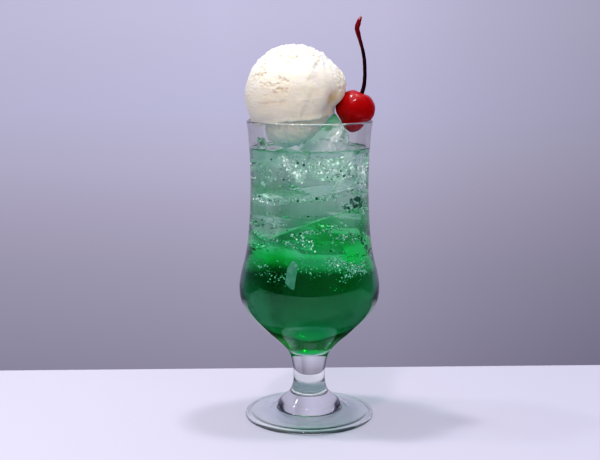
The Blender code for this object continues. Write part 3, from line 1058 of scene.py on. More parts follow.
        # The lower crease, with a soft valley at its right
        crease = place.x + 1.5 + 0.42 * (190.5 - place.z)
        low = fade(place.z, *self.crease_bottom) * (1.0 - fade(place.z, *self.crease_top))
        relief += front * low * profile(crease, self.crease)
        relief += self.hollow.at(place) + self.lobe.at(place)
        relief -= front * self.tear_depth(place)
        # Finer than the CAD solid: crumbs, drag marks on the cheek and small pits
        rough = self.roughness_at(place)
        crumbs = ((0.6 * rough, 0.5), (0.08 + 0.28 * rough, 1.1), (0.16 * rough, 2.1))
        relief += ripples(place, crumbs)
        return relief + 0.12 * noise.noise(Vector((place.x * 0.25, place.y * 0.25, place.z * 0.9)))

    def reach(self, direction: Vector) -> float:
        """Meet the surface: the ball above the skirt's ragged lip, and the foot below it.

        Args:
            direction: a direction from the scoop's centre, one long.

        Returns:
            How far the surface lies along it, in millimetres.
        """
        centre = Vector(self.centre)
        azimuth = math.atan2(direction.y, direction.x)
        slope = math.degrees(math.asin(max(-1.0, min(1.0, direction.z))))
        from_dip = math.remainder(azimuth - math.radians(self.skirt_dip_azimuth), math.tau)
        lowest = self.skirt_slope - self.skirt_dip * bump(math.degrees(from_dip), self.skirt_dip_width)
        lowest += ripples(Vector((math.cos(azimuth), math.sin(azimuth), 0.0)), self.skirt_rags)
        on_ball = fade(slope, lowest - 2.0, lowest + 1.0)
        surface = centre + direction * self.radius
        reach = self.radius + self.relief(surface, direction)
        reach += self.skirt_lip * bump(slope - lowest - 2.0, 3.0)
        lower_right = fade(direction.x, *self.tuck_x) * fade(-direction.z, *self.tuck_z)
        reach -= self.lower_right_tuck * lower_right
        foot = self.foot_reach(direction) + ripples(surface, self.foot_lumps)
        return part_way(foot, reach, on_ball)

    def holds(self, place: Vector, room: float) -> bool:
        """Tell whether a place lies inside the scoop or close to it.

        Args:
            place: the place, in millimetres.
            room: how far from the scoop still counts.

        Returns:
            True inside the scoop and in the room round it.
        """
        offset = place - Vector(self.centre)
        if offset.length > self.radius + self.highest_relief:
            return False
        return offset.length < self.reach(offset.normalized()) + room

    def build(self, block: "Lump") -> None:
        """Build and dress the scoop, with the painted tan shade of its crevices on the mesh.

        Args:
            block: the slim block of ice, which presses into the scoop.
        """
        centre = Vector(self.centre)

        def place(direction: Vector) -> Vector:
            """Return the surface in a direction, kept off the block of ice."""
            near = block.entry(centre, direction) - self.ice_gap
            return centre + direction * min(self.reach(direction), near)

        mesh = ball_mesh("scoop", self.cells, place)
        # Painted tan shade, in the tears, the crevice spots and the pits of the crumbly parts
        crevice_shade_amounts = []
        for vert in mesh.vertices:
            spot = vert.co / MM
            front = fade(-(spot.y - self.centre[1]) / self.radius, *self.facing)
            tear = 0.6 * front * self.tear_depth(spot)
            pits = 0.5 * self.roughness_at(spot) * fade(noise.noise(spot * 0.55), -0.1, -0.5)
            painted_crevice_shade = sum(crevice.at(spot) for crevice in self.painted_crevice_shade)
            crevice_shade_amounts.append(min(1.0, tear + painted_crevice_shade + pits))
        mesh.attributes.new("crevice", "FLOAT", "POINT").data.foreach_set("value", crevice_shade_amounts)
        show("vanilla_scoop", mesh, VANILLA.material(), ["ice_cream"])


# The ice


class Cut(NamedTuple):
    """A flat fracture: the face that is left looks along the direction, through the given place."""

    direction: Place
    through: Place


@dataclass(frozen=True)
class Lump:
    """A lump of ice: a box with flat fractures taken off it, melted round at its edges."""

    name: str
    centre: Place
    size: Place
    turned: Place
    cuts: tuple[Cut, ...] = ()
    sharpness: float = 26.0
    dent: float = 0.35
    dent_size: float = 7.0
    cells: int = 44
    scoop_gap: float = 0.4
    glass_gap: float = 0.7
    halvings: int = 9

    def planes(self) -> list[tuple[Vector, Vector]]:
        """List the faces of the box and of the cuts.

        Returns:
            Each face's outward direction and a place on it.
        """
        spin = Euler([math.radians(angle) for angle in self.turned]).to_matrix()
        middle = Vector(self.centre)
        found = []
        for axis in range(3):
            for side in (-1.0, 1.0):
                outward = Vector((0.0, 0.0, 0.0))
                outward[axis] = side
                outward = spin @ outward
                found.append((outward, middle + outward * self.size[axis] / 2.0))
        for cut in self.cuts:
            found.append((Vector(cut.direction).normalized(), Vector(cut.through)))
        return found

    def shape(self, glass: FootedGlass, scoop: Scoop | None = None) -> Shape:
        """Return the function that gives the lump's surface in a direction from its centre.

        Args:
            glass: the glass whose wall the lump stays inside.
            scoop: the scoop that has sunk into the lump, if it has.

        Returns:
            A function from a direction to a place in millimetres.
        """
        planes = self.planes()
        middle = Vector(self.centre)

        def place(direction: Vector) -> Vector:
            """Meet the surface: the nearest plane, blended softly with the next.

            Args:
                direction: a direction from the lump's centre, one long.

            Returns:
                The place there, inside the glass and outside the scoop, in millimetres.
            """
            total = 0.0
            for outward, through in planes:
                heading = outward.dot(direction)
                if heading > 1e-4:
                    total += (heading / outward.dot(through - middle)) ** self.sharpness
            reach = total ** (-1.0 / self.sharpness)
            reach += self.dent * noise.noise((middle + direction * reach) / self.dent_size)
            spot = middle + direction * reach
            outermost = glass.room(spot.z) - self.glass_gap
            if 0.0 < outermost < math.hypot(spot.x, spot.y):
                shrink = outermost / math.hypot(spot.x, spot.y)
                spot = Vector((spot.x * shrink, spot.y * shrink, spot.z))
            if scoop is None or not scoop.holds(spot, self.scoop_gap):
                return spot
            clear, inside = 0.0, 1.0
            for _ in range(self.halvings):
                share = (clear + inside) / 2.0
                if scoop.holds(middle.lerp(spot, share), self.scoop_gap):
                    inside = share
                else:
                    clear = share
            return middle.lerp(spot, clear)

        return place

    def entry(self, start: Vector, direction: Vector) -> float:
        """Meet the lump from outside.

        Args:
            start: where a ray starts, in millimetres.
            direction: where it goes.

        Returns:
            How far along the ray the lump begins, or infinity where the ray misses it.
        """
        enters, leaves = 0.0, math.inf
        for outward, through in self.planes():
            heading = outward.dot(direction)
            ahead = outward.dot(through - start)
            if abs(heading) < 1e-6:
                if ahead < 0.0:
                    return math.inf
            elif heading < 0.0:
                enters = max(enters, ahead / heading)
            else:
                leaves = min(leaves, ahead / heading)
        return enters if 0.0 < enters < leaves else math.inf


def halved(mesh: Mesh, height: float, keep_upper: bool) -> Mesh:
    """Cut a mesh at a height and return the kept half, open at the cut.

    Args:
        mesh: the mesh to cut, in metres. It is changed.
        height: where the level cut lies, in millimetres.
        keep_upper: True to keep what lies above the cut.

    Returns:
        The same mesh.
    """
    form = bmesh.new()
    form.from_mesh(mesh)
    bmesh.ops.bisect_plane(
        form,
        geom=form.verts[:] + form.edges[:] + form.faces[:],
        plane_co=(0.0, 0.0, height * MM),
        plane_no=(0.0, 0.0, 1.0),
        clear_inner=keep_upper,
        clear_outer=not keep_upper,
    )
    return written(form, mesh)


@dataclass
class Ice:
    """All the ice: two lumps that rise out of the drink, and lumps that are wholly sunk in it."""

    glass: FootedGlass
    scoop: Scoop
    level: float = LEVEL
    peak: Lump = Lump(
        "ice_peak",
        (3.0, 1.0, 160.5), (40.0, 30.0, 48.0), (0.0, 0.0, 4.0),
        (
            Cut((-0.70, -0.06, 0.71), (14.9, 0.0, 183.4)),
            Cut((0.858, 0.05, 0.512), (21.0, 0.0, 172.8)),
            Cut((0.10, -0.80, 0.59), (14.9, -2.5, 183.4)),
            Cut((0.05, 0.80, 0.60), (14.9, 3.5, 183.4)),
            Cut((0.80, -0.60, 0.05), (20.2, -9.0, 165.0)),
            Cut((0.72, 0.68, 0.10), (20.2, 10.0, 165.0)),
            Cut((-0.30, -0.90, 0.28), (-2.0, -14.0, 160.0)),
            Cut((-0.55, -0.45, -0.70), (-13.0, -8.0, 144.0)),
            Cut((0.60, 0.20, -0.77), (18.0, 3.0, 143.0)),
            Cut((-0.35, 0.93, 0.12), (-6.0, 14.5, 158.0)),
        ),
        sharpness=60.0, dent=0.25, dent_size=6.0, cells=72,
    )
    left: Lump = Lump(
        "ice_left",
        (-27.6, -8.3, 154.3), (4.8, 7.6, 29.6), (3.0, 2.0, 14.0),
        (
            Cut((0.55, -0.10, 0.83), (-26.0, -8.3, 168.4)),
            Cut((-0.86, -0.50, 0.0), (-27.8, -16.2, 158.0)),
            Cut((-0.97, -0.22, 0.0), (-31.4, -7.1, 158.0)),
            Cut((0.30, 0.20, -0.93), (-28.0, -8.5, 141.5)),
        ),
        sharpness=40.0, dent=0.1, dent_size=4.0, cells=30,
    )
    sunken: tuple[Lump, ...] = (
        Lump(
            "ice_sunken_leaf",
            (-3.0, -6.0, 127.5), (58.0, 38.0, 19.0), (4.0, -12.0, 6.0),
            (Cut((0.37, -0.1, -0.92), (5.0, -18.0, 122.5)),),
        ),
        Lump("ice_sunken_right", (18.0, -12.0, 120.0), (17.0, 18.0, 9.0), (5.0, 8.0, 20.0)),
        Lump("ice_sunken_middle", (4.0, -11.0, 98.0), (25.0, 26.0, 16.0), (10.0, 5.0, 15.0)),
        Lump("ice_sunken_nut", (-0.5, -19.0, 110.6), (9.0, 8.0, 8.0), (20.0, 15.0, 30.0)),
        Lump("ice_sunken_side", (26.0, -6.0, 147.0), (9.0, 20.0, 28.0), (3.0, -4.0, 10.0)),
        Lump("ice_sunken_back", (-14.0, 12.0, 108.0), (26.0, 22.0, 20.0), (15.0, 10.0, 40.0)),
    )
    chip: Lump = Lump(
        "ice_chip",
        (-9.8, -34.0, 93.7), (5.6, 1.6, 16.0), (-10.0, 9.0, 4.0),
        (
            Cut((0.62, 0.0, 0.78), (-7.4, -34.0, 100.6)),
            Cut((-0.80, 0.0, 0.60), (-12.5, -34.0, 97.0)),
            Cut((-0.75, 0.0, -0.66), (-12.0, -34.0, 87.8)),
        ),
        sharpness=40.0, dent=0.12, dent_size=3.0, cells=24,
    )

    def rising(self) -> tuple[Lump, Lump]:
        """Return the lumps that stick out of the drink."""
        return (self.peak, self.left)

    def all_lumps(self) -> list[Lump]:
        """Return every lump."""
        return [*self.rising(), *self.sunken]

    def build(self) -> None:
        """Build and dress every lump, each rising one in two pieces that meet at the level."""
        soaked = WetIce().finish().material()
        dry = WetIce("clear_ice_out_of_the_drink", painted_drink_green="#F6FCFB", clearness=0.95).finish().material()
        # Seen from the drink, ice bends light by the ratio of water's index to its own
        bend = WATER_IOR / ICE_IOR
        wet = WetIce("sunken_clear_ice", "#FBFEFD", "#FBFEFD", 1.0, bend, dent_height=0.3)
        sunken = wet.finish().material()
        for lump, bare in zip(self.rising(), (soaked, dry)):
            upper = ball_mesh(lump.name, lump.cells, lump.shape(self.glass, self.scoop))
            lower = flip(halved(upper.copy(), self.level, False))
            show(lump.name + "_top", halved(upper, self.level, True), bare, [lump.name])
            show(lump.name + "_sunk", lower, sunken, [lump.name])
        finishes = [sunken] * len(self.sunken) + [CLOUDY_ICE.material()]
        for lump, material in zip([*self.sunken, self.chip], finishes):
            mesh = ball_mesh(lump.name, lump.cells, lump.shape(self.glass))
            show(lump.name, flip(mesh), material)


# The drink


@dataclass
class Drink:
    """The soda: a skin that reaches just into the glass's wall, and the dye in the liquid round the ice."""

    glass: FootedGlass
    ice: Ice
    level: float = LEVEL
    into_wall: float = 0.15
    climb: float = 1.1
    climb_width: float = 1.3
    climb_steps: tuple[float, ...] = (0.0, 0.35, 0.7, 1.1, 1.6, 2.3, 3.2, 4.5)
    level_shares: tuple[float, ...] = (0.8, 0.6, 0.4, 0.2, 0.0)
    level_inset: float = 5.0
    wall_stop: float = 0.4
    dye_gap: float = 0.25
    dye_steps: int = 72
    dye_cells: int = 12
    skin_cells: int = 40
    steps: int = 144

    def outline(self, outward: float, climbs: bool) -> list[Vector]:
        """Return the drink's outline, from the middle of its floor up the wall and in over its level.

        Args:
            outward: how far past the glass's inner wall it reaches.
            climbs: whether the level curls up at the wall, as a liquid's does.

        Returns:
            Points in millimetres, with x the radius and z the height.
        """
        wall = self.glass.cavity()
        top = self.level + (self.climb if climbs else 0.0)
        points = [Vector((0.0, 0.0, wall[0].z - outward))]
        for before, here, after in zip(wall, wall[1:], wall[2:]):
            along = (after - before).normalized()
            place = here + Vector((along.z, 0.0, -along.x)) * outward
            if place.z > top - self.wall_stop:
                break
            points.append(place)
        edge = points[-1].x
        if climbs:
            for inward in self.climb_steps:
                rise = self.climb * math.exp(-inward / self.climb_width)
                points.append(Vector((edge - inward, 0.0, self.level + rise)))
        else:
            points.append(Vector((edge, 0.0, self.level)))
        for share in self.level_shares:
            points.append(Vector(((edge - self.level_inset) * share, 0.0, self.level)))
        return points

    def build(self) -> None:
        """Build and dress the drink's skin and the dye."""
        skin = flip(turned_mesh("soda", self.outline(self.into_wall, True), self.steps))
        skin = self.without_ice(skin, self.ice.rising(), self.skin_cells, False)
        show("green_soda_body", skin, GREEN_SODA.material(), ["drink"])
        dye = flip(turned_mesh("dye", self.outline(-self.dye_gap, False), self.dye_steps))
        dye = self.without_ice(dye, self.ice.all_lumps(), self.dye_cells, True)
        show("green_soda_dye", dye, DYE.material(), ["drink"])

    def without_ice(
        self, mesh: Mesh, lumps: Sequence[Lump], cells: int, walls: bool
    ) -> Mesh:
        """Take the room of lumps of ice out of a mesh.

        Args:
            mesh: the closed mesh to cut, in metres.
            lumps: the lumps whose room is left out.
            cells: how finely the lumps are built for the cut.
            walls: whether the cut keeps its own walls, or leaves only a hole in the mesh.

        Returns:
            The mesh that is left.
        """
        marks = [bpy.data.materials.new(name) for name in ("kept", "cut")]
        mesh.materials.append(marks[0])
        piece = placed("uncut", mesh)
        cutters = bpy.data.collections.new("ice_room")
        bpy.context.scene.collection.children.link(cutters)
        for lump in lumps:
            room = ball_mesh(lump.name + "_room", cells, lump.shape(self.glass))
            room.materials.append(marks[1])
            cutters.objects.link(bpy.data.objects.new(lump.name + "_room", room))
        cut = piece.modifiers.new("Ice_room", "BOOLEAN")
        cut.operation = "DIFFERENCE"
        cut.solver = "EXACT"
        # The walls of the cut take the cutters' mark, by which they are told from the rest
        cut.material_mode = "TRANSFER"
        cut.operand_type = "COLLECTION"
        cut.collection = cutters
        graph = bpy.context.evaluated_depsgraph_get()
        left = bpy.data.meshes.new_from_object(piece.evaluated_get(graph))
        if not walls:
            slot = left.materials.find("cut")
            form = bmesh.new()
            form.from_mesh(left)
            gone = [face for face in form.faces if face.material_index == slot]
            bmesh.ops.delete(form, geom=gone, context="FACES")
            written(form, left)
        for used in [*cutters.objects, piece]:
            bpy.data.objects.remove(used, do_unlink=True)
        bpy.data.collections.remove(cutters)
        for mark in marks:
            bpy.data.materials.remove(mark)
        return left


class Crack(NamedTuple):
    """A crumpled crack: its middle, the way it faces, its half width and height, and its crumpling."""

    centre: Place
    facing: Place
    half_width: float
    half_height: float
    crumple: float


@dataclass
class Frost:
    """Cracks in the ice, filled with air: thin crumpled sheets whose small flat facets sparkle."""

    seed: int = 5
    facet: float = 1.5
    facet_jitter: float = 0.35
    thickness: float = 0.22
    cracks: tuple[Crack, ...] = (
        Crack((-8.5, -13.0, 153.5), (0.5, -0.7, 0.5), 4.0, 8.0, 0.45),
        Crack((-4.5, -15.0, 149.0), (-0.3, -0.8, 0.5), 3.0, 5.0, 0.45),
        Crack((6.0, -12.0, 152.0), (0.3, -0.9, 0.4), 7.0, 7.0, 0.35),
        Crack((14.0, -11.0, 150.0), (-0.4, -0.8, 0.4), 5.0, 9.0, 0.35),
        Crack((19.0, -6.0, 156.0), (0.6, -0.7, 0.2), 3.0, 8.0, 0.40),
        Crack((9.0, -9.0, 165.0), (0.2, -0.8, 0.5), 6.0, 3.0, 0.40),
        Crack((14.5, -7.0, 170.5), (-0.3, -0.8, 0.5), 3.5, 4.5, 0.45),
        Crack((26.5, -9.0, 148.0), (0.3, -0.9, 0.2), 2.5, 8.0, 0.40),
        Crack((-20.0, -14.0, 136.0), (-0.2, -0.6, 0.8), 8.0, 2.0, 0.40),
    )

    def add(self, form: bmesh.types.BMesh, crack: Crack, draw: random.Random) -> None:
        """Add one crack's sheet, two crumpled layers that meet at the edge.

        Args:
            form: the form that takes the sheet.
            crack: the crack.
            draw: the seeded draw.
        """
        spin = Vector(crack.facing).to_track_quat("Z", "Y")
        across = max(4, round(2.0 * crack.half_width / self.facet))
        along = max(4, round(2.0 * crack.half_height / self.facet))
        layers: list[list[list[bmesh.types.BMVert]]] = [[], []]
        for row in range(along + 1):
            lines: list[list[bmesh.types.BMVert]] = [[], []]
            for column in range(across + 1):
                u = 2.0 * column / across - 1.0
                v = 2.0 * row / along - 1.0
                rim = max(abs(u), abs(v)) > 0.999
                flat_x = u * math.sqrt(1.0 - v * v / 2.0) * crack.half_width
                flat_y = v * math.sqrt(1.0 - u * u / 2.0) * crack.half_height
                reach = self.facet_jitter
                jitter = [draw.uniform(-reach, reach) * self.facet for _ in range(2)]
                spot = Vector((flat_x + jitter[0], flat_y + jitter[1], 0.0))
                spot.z = crack.crumple * draw.uniform(-1.0, 1.0)
                spot.z += 1.2 * noise.noise(spot * 0.25 + Vector(crack.centre))
                for layer, side in enumerate((0.5, -0.5)):
                    if rim and layer:
                        lines[1].append(lines[0][-1])
                        continue
                    lift = 0.0 if rim else side * self.thickness
                    place = spin @ (spot + Vector((0.0, 0.0, lift))) + Vector(crack.centre)
                    lines[layer].append(form.verts.new(place * MM))
            for layer in (0, 1):
                layers[layer].append(lines[layer])
        for layer, rows in enumerate(layers):
            for a, b, c, d in quads(rows):
                # The walls face the gas, as the gas is a hollow in the ice
                for face in ((a, c, b), (a, d, c)):
                    if form.faces.get(face) is None:
                        form.faces.new(face if layer == 0 else face[::-1])

    def build(self) -> None:
        """Build all cracks as one piece."""
        draw = random.Random(self.seed)
        form = bmesh.new()
        for crack in self.cracks:
            self.add(form, crack, draw)
        mesh = written(form, bpy.data.meshes.new("cracks"))
        # The walls of the cracks glow a little as painted light
        air = Gas(
            "air_filled_crack", "#FAFCFF", ICE_IOR, 0.55, glint_ior=3.0, glint_roughness=0.3, gathered=0.08
        )
        show("ice_cracks", mesh, air.finish().material())


class Swarm(NamedTuple):
    """A crowd of bubbles along a line, seen from the front.

    Its fields are the count, x and z of the line's two ends, how far the bubbles stray in x and z, how
    far behind the glass's front wall they lie, and their smallest and largest radius.
    """

    count: int
    start: Pair
    end: Pair
    stray: Pair
    depth: Pair
    radii: Pair


# How high a bit reaches, and its gap to the wall, in millimetres
TOP_LIMIT = 161.0
WALL_GAP = 0.45
# How far towards the sides it may lie, and how much of a swarm's stray is its usual distance
SIDE_LIMIT = 0.97
STRAY_SHARE = 0.6
# How strongly bits crowd towards the small sizes and the front, and how many come for each mirrored one
SIZE_CROWDING = 2
DEPTH_CROWDING = 1.5
MIRROR_EVERY = 3


def scattered(
    glass: FootedGlass, swarms: Sequence[Swarm], draw: random.Random
) -> list[tuple[Vector, float]]:
    """Scatter small bits behind the glass's front wall, and some of them at its back too.

    Args:
        glass: the glass that they stay in.
        swarms: the crowds that they belong to.
        draw: the seeded draw.

    Returns:
        Each bit's middle and radius, in millimetres.
    """
    bits = []
    for swarm in swarms:
        for number in range(swarm.count):
            share = draw.random()
            radius = part_way(*swarm.radii, draw.random() ** SIZE_CROWDING)
            x = part_way(swarm.start[0], swarm.end[0], share)
            z = part_way(swarm.start[1], swarm.end[1], share)
            x += draw.gauss(0.0, swarm.stray[0] * STRAY_SHARE)
            z = min(TOP_LIMIT - radius, z + draw.gauss(0.0, swarm.stray[1] * STRAY_SHARE))
            outermost = glass.room(z) - radius - WALL_GAP
            x = max(-SIDE_LIMIT * outermost, min(SIDE_LIMIT * outermost, x))
            wall = math.sqrt(outermost**2 - x**2)
            y = part_way(*swarm.depth, draw.random() ** DEPTH_CROWDING) - wall
            bits.append((Vector((x, y, z)), radius))
            if number % MIRROR_EVERY == 0:
                bits.append((Vector((-x, -y, z)), radius))
    return bits


@dataclass
class Bubbles:
    """Gas bubbles that cling to the glass and to the ice."""

    glass: FootedGlass
    seed: int = 11
    clear_up_to: float = 0.55
    milky_up_to: float = 0.94
    swarms: tuple[Swarm, ...] = (
        # The bright mass low on the right, and the sparser one low on the left
        Swarm(420, (10.0, 102.0), (31.0, 92.0), (3.5, 3.0), (0.0, 7.0), (0.22, 0.6)),
        Swarm(200, (18.0, 90.0), (34.0, 100.0), (3.0, 2.5), (0.0, 4.0), (0.22, 0.65)),
        Swarm(130, (-31.0, 97.0), (-14.0, 90.0), (4.0, 4.0), (0.0, 5.0), (0.22, 0.55)),
        Swarm(70, (-8.0, 100.0), (6.0, 94.0), (6.0, 4.0), (0.0, 6.0), (0.22, 0.55)),
        # Along the lumps' edges
        Swarm(70, (-29.0, 136.5), (-14.0, 134.0), (1.0, 0.9), (0.0, 4.0), (0.4, 1.0)),
        Swarm(90, (-14.0, 135.0), (20.0, 137.5), (2.0, 1.4), (0.0, 6.0), (0.4, 1.05)),
        Swarm(30, (18.0, 133.0), (30.0, 127.5), (2.0, 2.0), (0.0, 4.0), (0.7, 1.4)),
        Swarm(50, (-30.0, 115.0), (-8.0, 110.0), (1.5, 1.2), (0.0, 4.0), (0.35, 0.9)),
        Swarm(60, (-6.0, 116.0), (18.0, 120.0), (3.0, 2.0), (0.0, 6.0), (0.35, 0.8)),
        Swarm(70, (12.0, 113.0), (32.0, 112.0), (4.0, 3.0), (0.0, 5.0), (0.35, 0.9)),
        Swarm(50, (-26.0, 120.0), (-12.0, 124.0), (4.0, 4.0), (0.0, 3.0), (0.3, 0.7)),
        # Scattered in the pale part
        Swarm(120, (-6.0, 158.0), (30.0, 146.0), (6.0, 5.0), (0.0, 8.0), (0.35, 0.9)),
        Swarm(60, (24.0, 158.0), (29.0, 134.0), (2.5, 4.0), (0.0, 4.0), (0.35, 0.9)),
        Swarm(44, (-28.0, 152.0), (-12.0, 144.0), (4.0, 5.0), (0.0, 5.0), (0.3, 0.9)),
        Swarm(5, (-26.0, 144.5), (-25.0, 143.0), (1.0, 1.0), (0.0, 1.5), (1.0, 1.5)),
    )
    shaded: tuple[Swarm, ...] = (
        # Painted shade: the dark cluster on the right, and dark specks in the clear lump
        Swarm(44, (19.0, 132.0), (31.0, 131.5), (2.0, 2.6), (0.0, 2.5), (0.5, 1.3)),
        Swarm(24, (6.0, 155.0), (24.0, 147.0), (4.0, 4.5), (0.0, 6.0), (0.3, 0.7)),
        Swarm(16, (28.0, 110.0), (33.0, 104.0), (1.0, 3.0), (0.0, 3.0), (0.5, 1.1)),
    )

    def build(self) -> None:
        """Build the bubbles as one piece for each way that they meet the eye."""
        draw = random.Random(self.seed)
        bits: list[list[tuple[Vector, Matrix]]] = [[], [], []]
        for middle, radius in scattered(self.glass, self.swarms, draw):
            kind = draw.random()
            group = 0 if kind < self.clear_up_to else 1 if kind < self.milky_up_to else 2
            bits[group].append((middle, Matrix.Scale(radius, 3)))
        for middle, radius in scattered(self.glass, self.shaded, draw):
            bits[2].append((middle, Matrix.Scale(radius, 3)))
        # The milky bubbles glow a little as painted light, and the last kind is tinted dark as painted
        # shade
        gases = (
            Gas(clearness=0.92),
            Gas("milky_carbonation", "#DCFBEA", clearness=0.4, gathered=0.05),
            Gas("carbonation_in_shade", "#2E6B55", clearness=0.45, glint_ior=1.6),
        )
        for gas, crowd in zip(gases, bits):
            mesh = flip(crowd_mesh(gas.name, crowd))
            show("soda_bubbles_" + gas.name, mesh, gas.finish().material())


@dataclass
class Splinters:
    """Small flat faces of broken ice and trapped gas, which sparkle under the lamps; some glow with painted
    glints.
    """

    glass: FootedGlass
    seed: int = 23
    painted_glint_up_to: float = 0.26
    shaded_from: float = 0.8
    largest_shaded: float = 0.7
    swarms: tuple[Swarm, ...] = (
        # The white sparkle under the scoop, the clear lump at its right, and the right wall
        Swarm(22, (-14.5, 159.5), (-4.5, 149.5), (1.6, 1.6), (2.0, 4.0), (0.9, 2.4)),
        Swarm(70, (-17.0, 160.0), (-3.0, 148.0), (3.0, 3.0), (2.0, 6.0), (0.3, 1.0)),
        Swarm(110, (-2.0, 155.0), (24.0, 149.0), (3.0, 4.5), (2.0, 8.0), (0.3, 1.0)),
        Swarm(26, (3.0, 156.0), (20.0, 144.0), (3.0, 4.0), (2.0, 5.0), (0.8, 1.8)),
        Swarm(34, (29.0, 159.0), (30.0, 143.0), (1.2, 2.0), (0.5, 4.0), (0.5, 1.6)),
        Swarm(30, (-30.0, 134.5), (-20.0, 133.0), (1.4, 0.7), (0.3, 2.0), (0.5, 1.2)),
        Swarm(40, (-8.0, 115.0), (4.0, 108.0), (4.0, 2.0), (0.5, 6.0), (0.4, 1.3)),
        Swarm(40, (12.0, 98.0), (33.0, 94.0), (3.0, 2.5), (0.3, 6.0), (0.3, 0.8)),
    )

    def build(self) -> None:
        """Build the pale splinters, those with painted glints and those of painted shade, as a piece each.
        """
        draw = random.Random(self.seed)
        bits: list[list[tuple[Vector, Matrix]]] = [[], [], []]
        for middle, radius in scattered(self.glass, self.swarms, draw):
            turn = Euler([draw.uniform(0.0, math.tau) for _ in range(3)]).to_matrix()
            form = Matrix.Diagonal((radius, radius * draw.uniform(0.2, 0.5), radius * 0.7))
            kind = draw.random()
            shaded = kind > self.shaded_from and radius < self.largest_shaded
            group = 1 if kind < self.painted_glint_up_to else 2 if shaded else 0
            bits[group].append((middle, turn @ form))
        # The first glows a little as painted light, the second glows as painted glints, and the third is
        # tinted dark as painted shade
        gases = (
            Gas("frosted_splinter", "#F4FBFA", ICE_IOR, 0.5, 2.4, 0.25, gathered=0.10),
            Gas("painted_glint_splinter", "#FBFBFF", ICE_IOR, 0.3, 2.4, 0.25, gathered=0.75),
            Gas("shaded_splinter", "#5C9A86", ICE_IOR, 0.5, 1.6, 0.2),
        )
        for gas, crowd in zip(gases, bits):
            mesh = flip(crowd_mesh(gas.name, crowd, 1))
            show("ice_" + gas.name, mesh, gas.finish().material())


# The cherry


@dataclass
class Cherry:
    """The candied cherry on its bent stem."""

    centre: Place = (26.6, 0.0, 185.2)
    radius: float = 11.2
    tilt: float = 9.0
    tip_length: float = 13.9
    dimple_depth: float = 2.2
    dimple_radius: float = 3.6
    dimple_lean: float = 14.0
    # How the skin draws in between its middle and its tip, over degrees above the level
    waist: tuple[Place, ...] = ((-1.3, -48.0, 24.0),)
    flatness: float = 0.35
    unevenness: Pairs = ((0.25, 2.2), (0.10, 5.0))
    cells: int = 64
    stem_radius: float = 1.05
    stem_sides: int = 20
    stem_step: float = 0.7
    ridge_height: float = 0.14
    knob_height: float = 0.35
    knobs: Pair = (226.0, 232.0)
    stem_route: tuple[tuple[float, float, float, float], ...] = (
        (29.9, 0.0, 192.8, 1.2), (31.5, 0.3, 198.5, 1.1), (32.0, 0.5, 205.0, 1.0),
        (31.7, 0.5, 212.0, 1.0), (30.8, 0.4, 218.0, 1.0), (29.4, 0.2, 223.3, 1.0),
        (27.9, 0.0, 228.3, 1.2), (27.3, 0.0, 231.4, 1.35), (28.1, 0.2, 234.8, 1.35),
        (29.7, 0.4, 238.0, 0.6),
    )

    def skin(self, direction: Vector) -> Vector:
        """Meet the skin, which is round, pointed below and dimpled on top.

        Args:
            direction: a direction from the cherry's centre, one long.

        Returns:
            The place there, in millimetres.
        """
        slope = math.asin(max(-1.0, min(1.0, direction.z)))
        downward = fade(-slope, math.radians(5.0), math.radians(90.0))
        reach = part_way(self.radius, self.tip_length, downward**2)
        reach += profile(math.degrees(slope), self.waist)
        azimuth = math.atan2(direction.y, direction.x)
        reach += self.flatness * math.cos(2.0 * azimuth) * math.cos(slope) ** 2
        lean = math.radians(self.dimple_lean)
        stem_axis = Vector((math.sin(lean), 0.0, math.cos(lean)))
        from_stem = direction.angle(stem_axis) * self.radius
        reach -= self.dimple_depth * bump(from_stem, self.dimple_radius)
        reach += ripples(direction, self.unevenness)
        spin = Euler((0.0, math.radians(self.tilt), 0.0)).to_matrix()
        return Vector(self.centre) + spin @ (direction * reach)

    def stem_mesh(self) -> Mesh:
        """Build the stem.

        Returns:
            A bent tube with knots and ridges, closed at both ends.
        """
        route = smooth_points([Vector(stop) for stop in self.stem_route], self.stem_step)
        form = bmesh.new()
        rings = []
        across = Vector((1.0, 0.0, 0.0))
        for step, stop in enumerate(route):
            ahead = route[min(step + 1, len(route) - 1)].xyz - route[max(step - 1, 0)].xyz
            ahead.normalize()
            across = (across - ahead * across.dot(ahead)).normalized()
            beside = ahead.cross(across)
            ring = []
            for side in range(self.stem_sides):
                angle = math.tau * side / self.stem_sides
                around = across * math.cos(angle) + beside * math.sin(angle)
                rough = noise.noise(Vector((around.x * 1.6, around.y * 1.6, stop.z * 0.35)))
                knobby = fade(stop.z, *self.knobs) * noise.noise(stop.xyz * 0.7 + around * 0.8)
                uneven = self.ridge_height * rough + self.knob_height * knobby
                reach = self.stem_radius * (stop.w + uneven)
                ring.append(form.verts.new((stop.xyz + around * reach) * MM))
            rings.append(ring)
        for quad in quads(rings, closed=True):
            form.faces.new(quad)
        form.faces.new(rings[0][::-1])
        form.faces.new(rings[-1])
        mesh = written(form, bpy.data.meshes.new("stem"))
        mesh.shade_smooth()
        return mesh

    def build(self) -> None:
        """Build and dress the cherry and its stem."""
        flesh = ball_mesh("cherry", self.cells, self.skin)
        show("candied_cherry", flesh, CHERRY_SKIN.material(), ["cherry"])
        show("candied_cherry_stem", self.stem_mesh(), STEM_BARK.material(), ["cherry_stem"])


# The studio


class Lamp(NamedTuple):
    """A square lamp: its name, its place, aim and width in metres, its power, its colour and its gloss.

    A lamp without gloss lights what it reaches and isn't mirrored in glass or a wet skin.
    """

    name: str
    place: Place
    aim: Place
    width: float
    watts: float
    shade: str = "#FFFFFF"
    gloss: bool = True


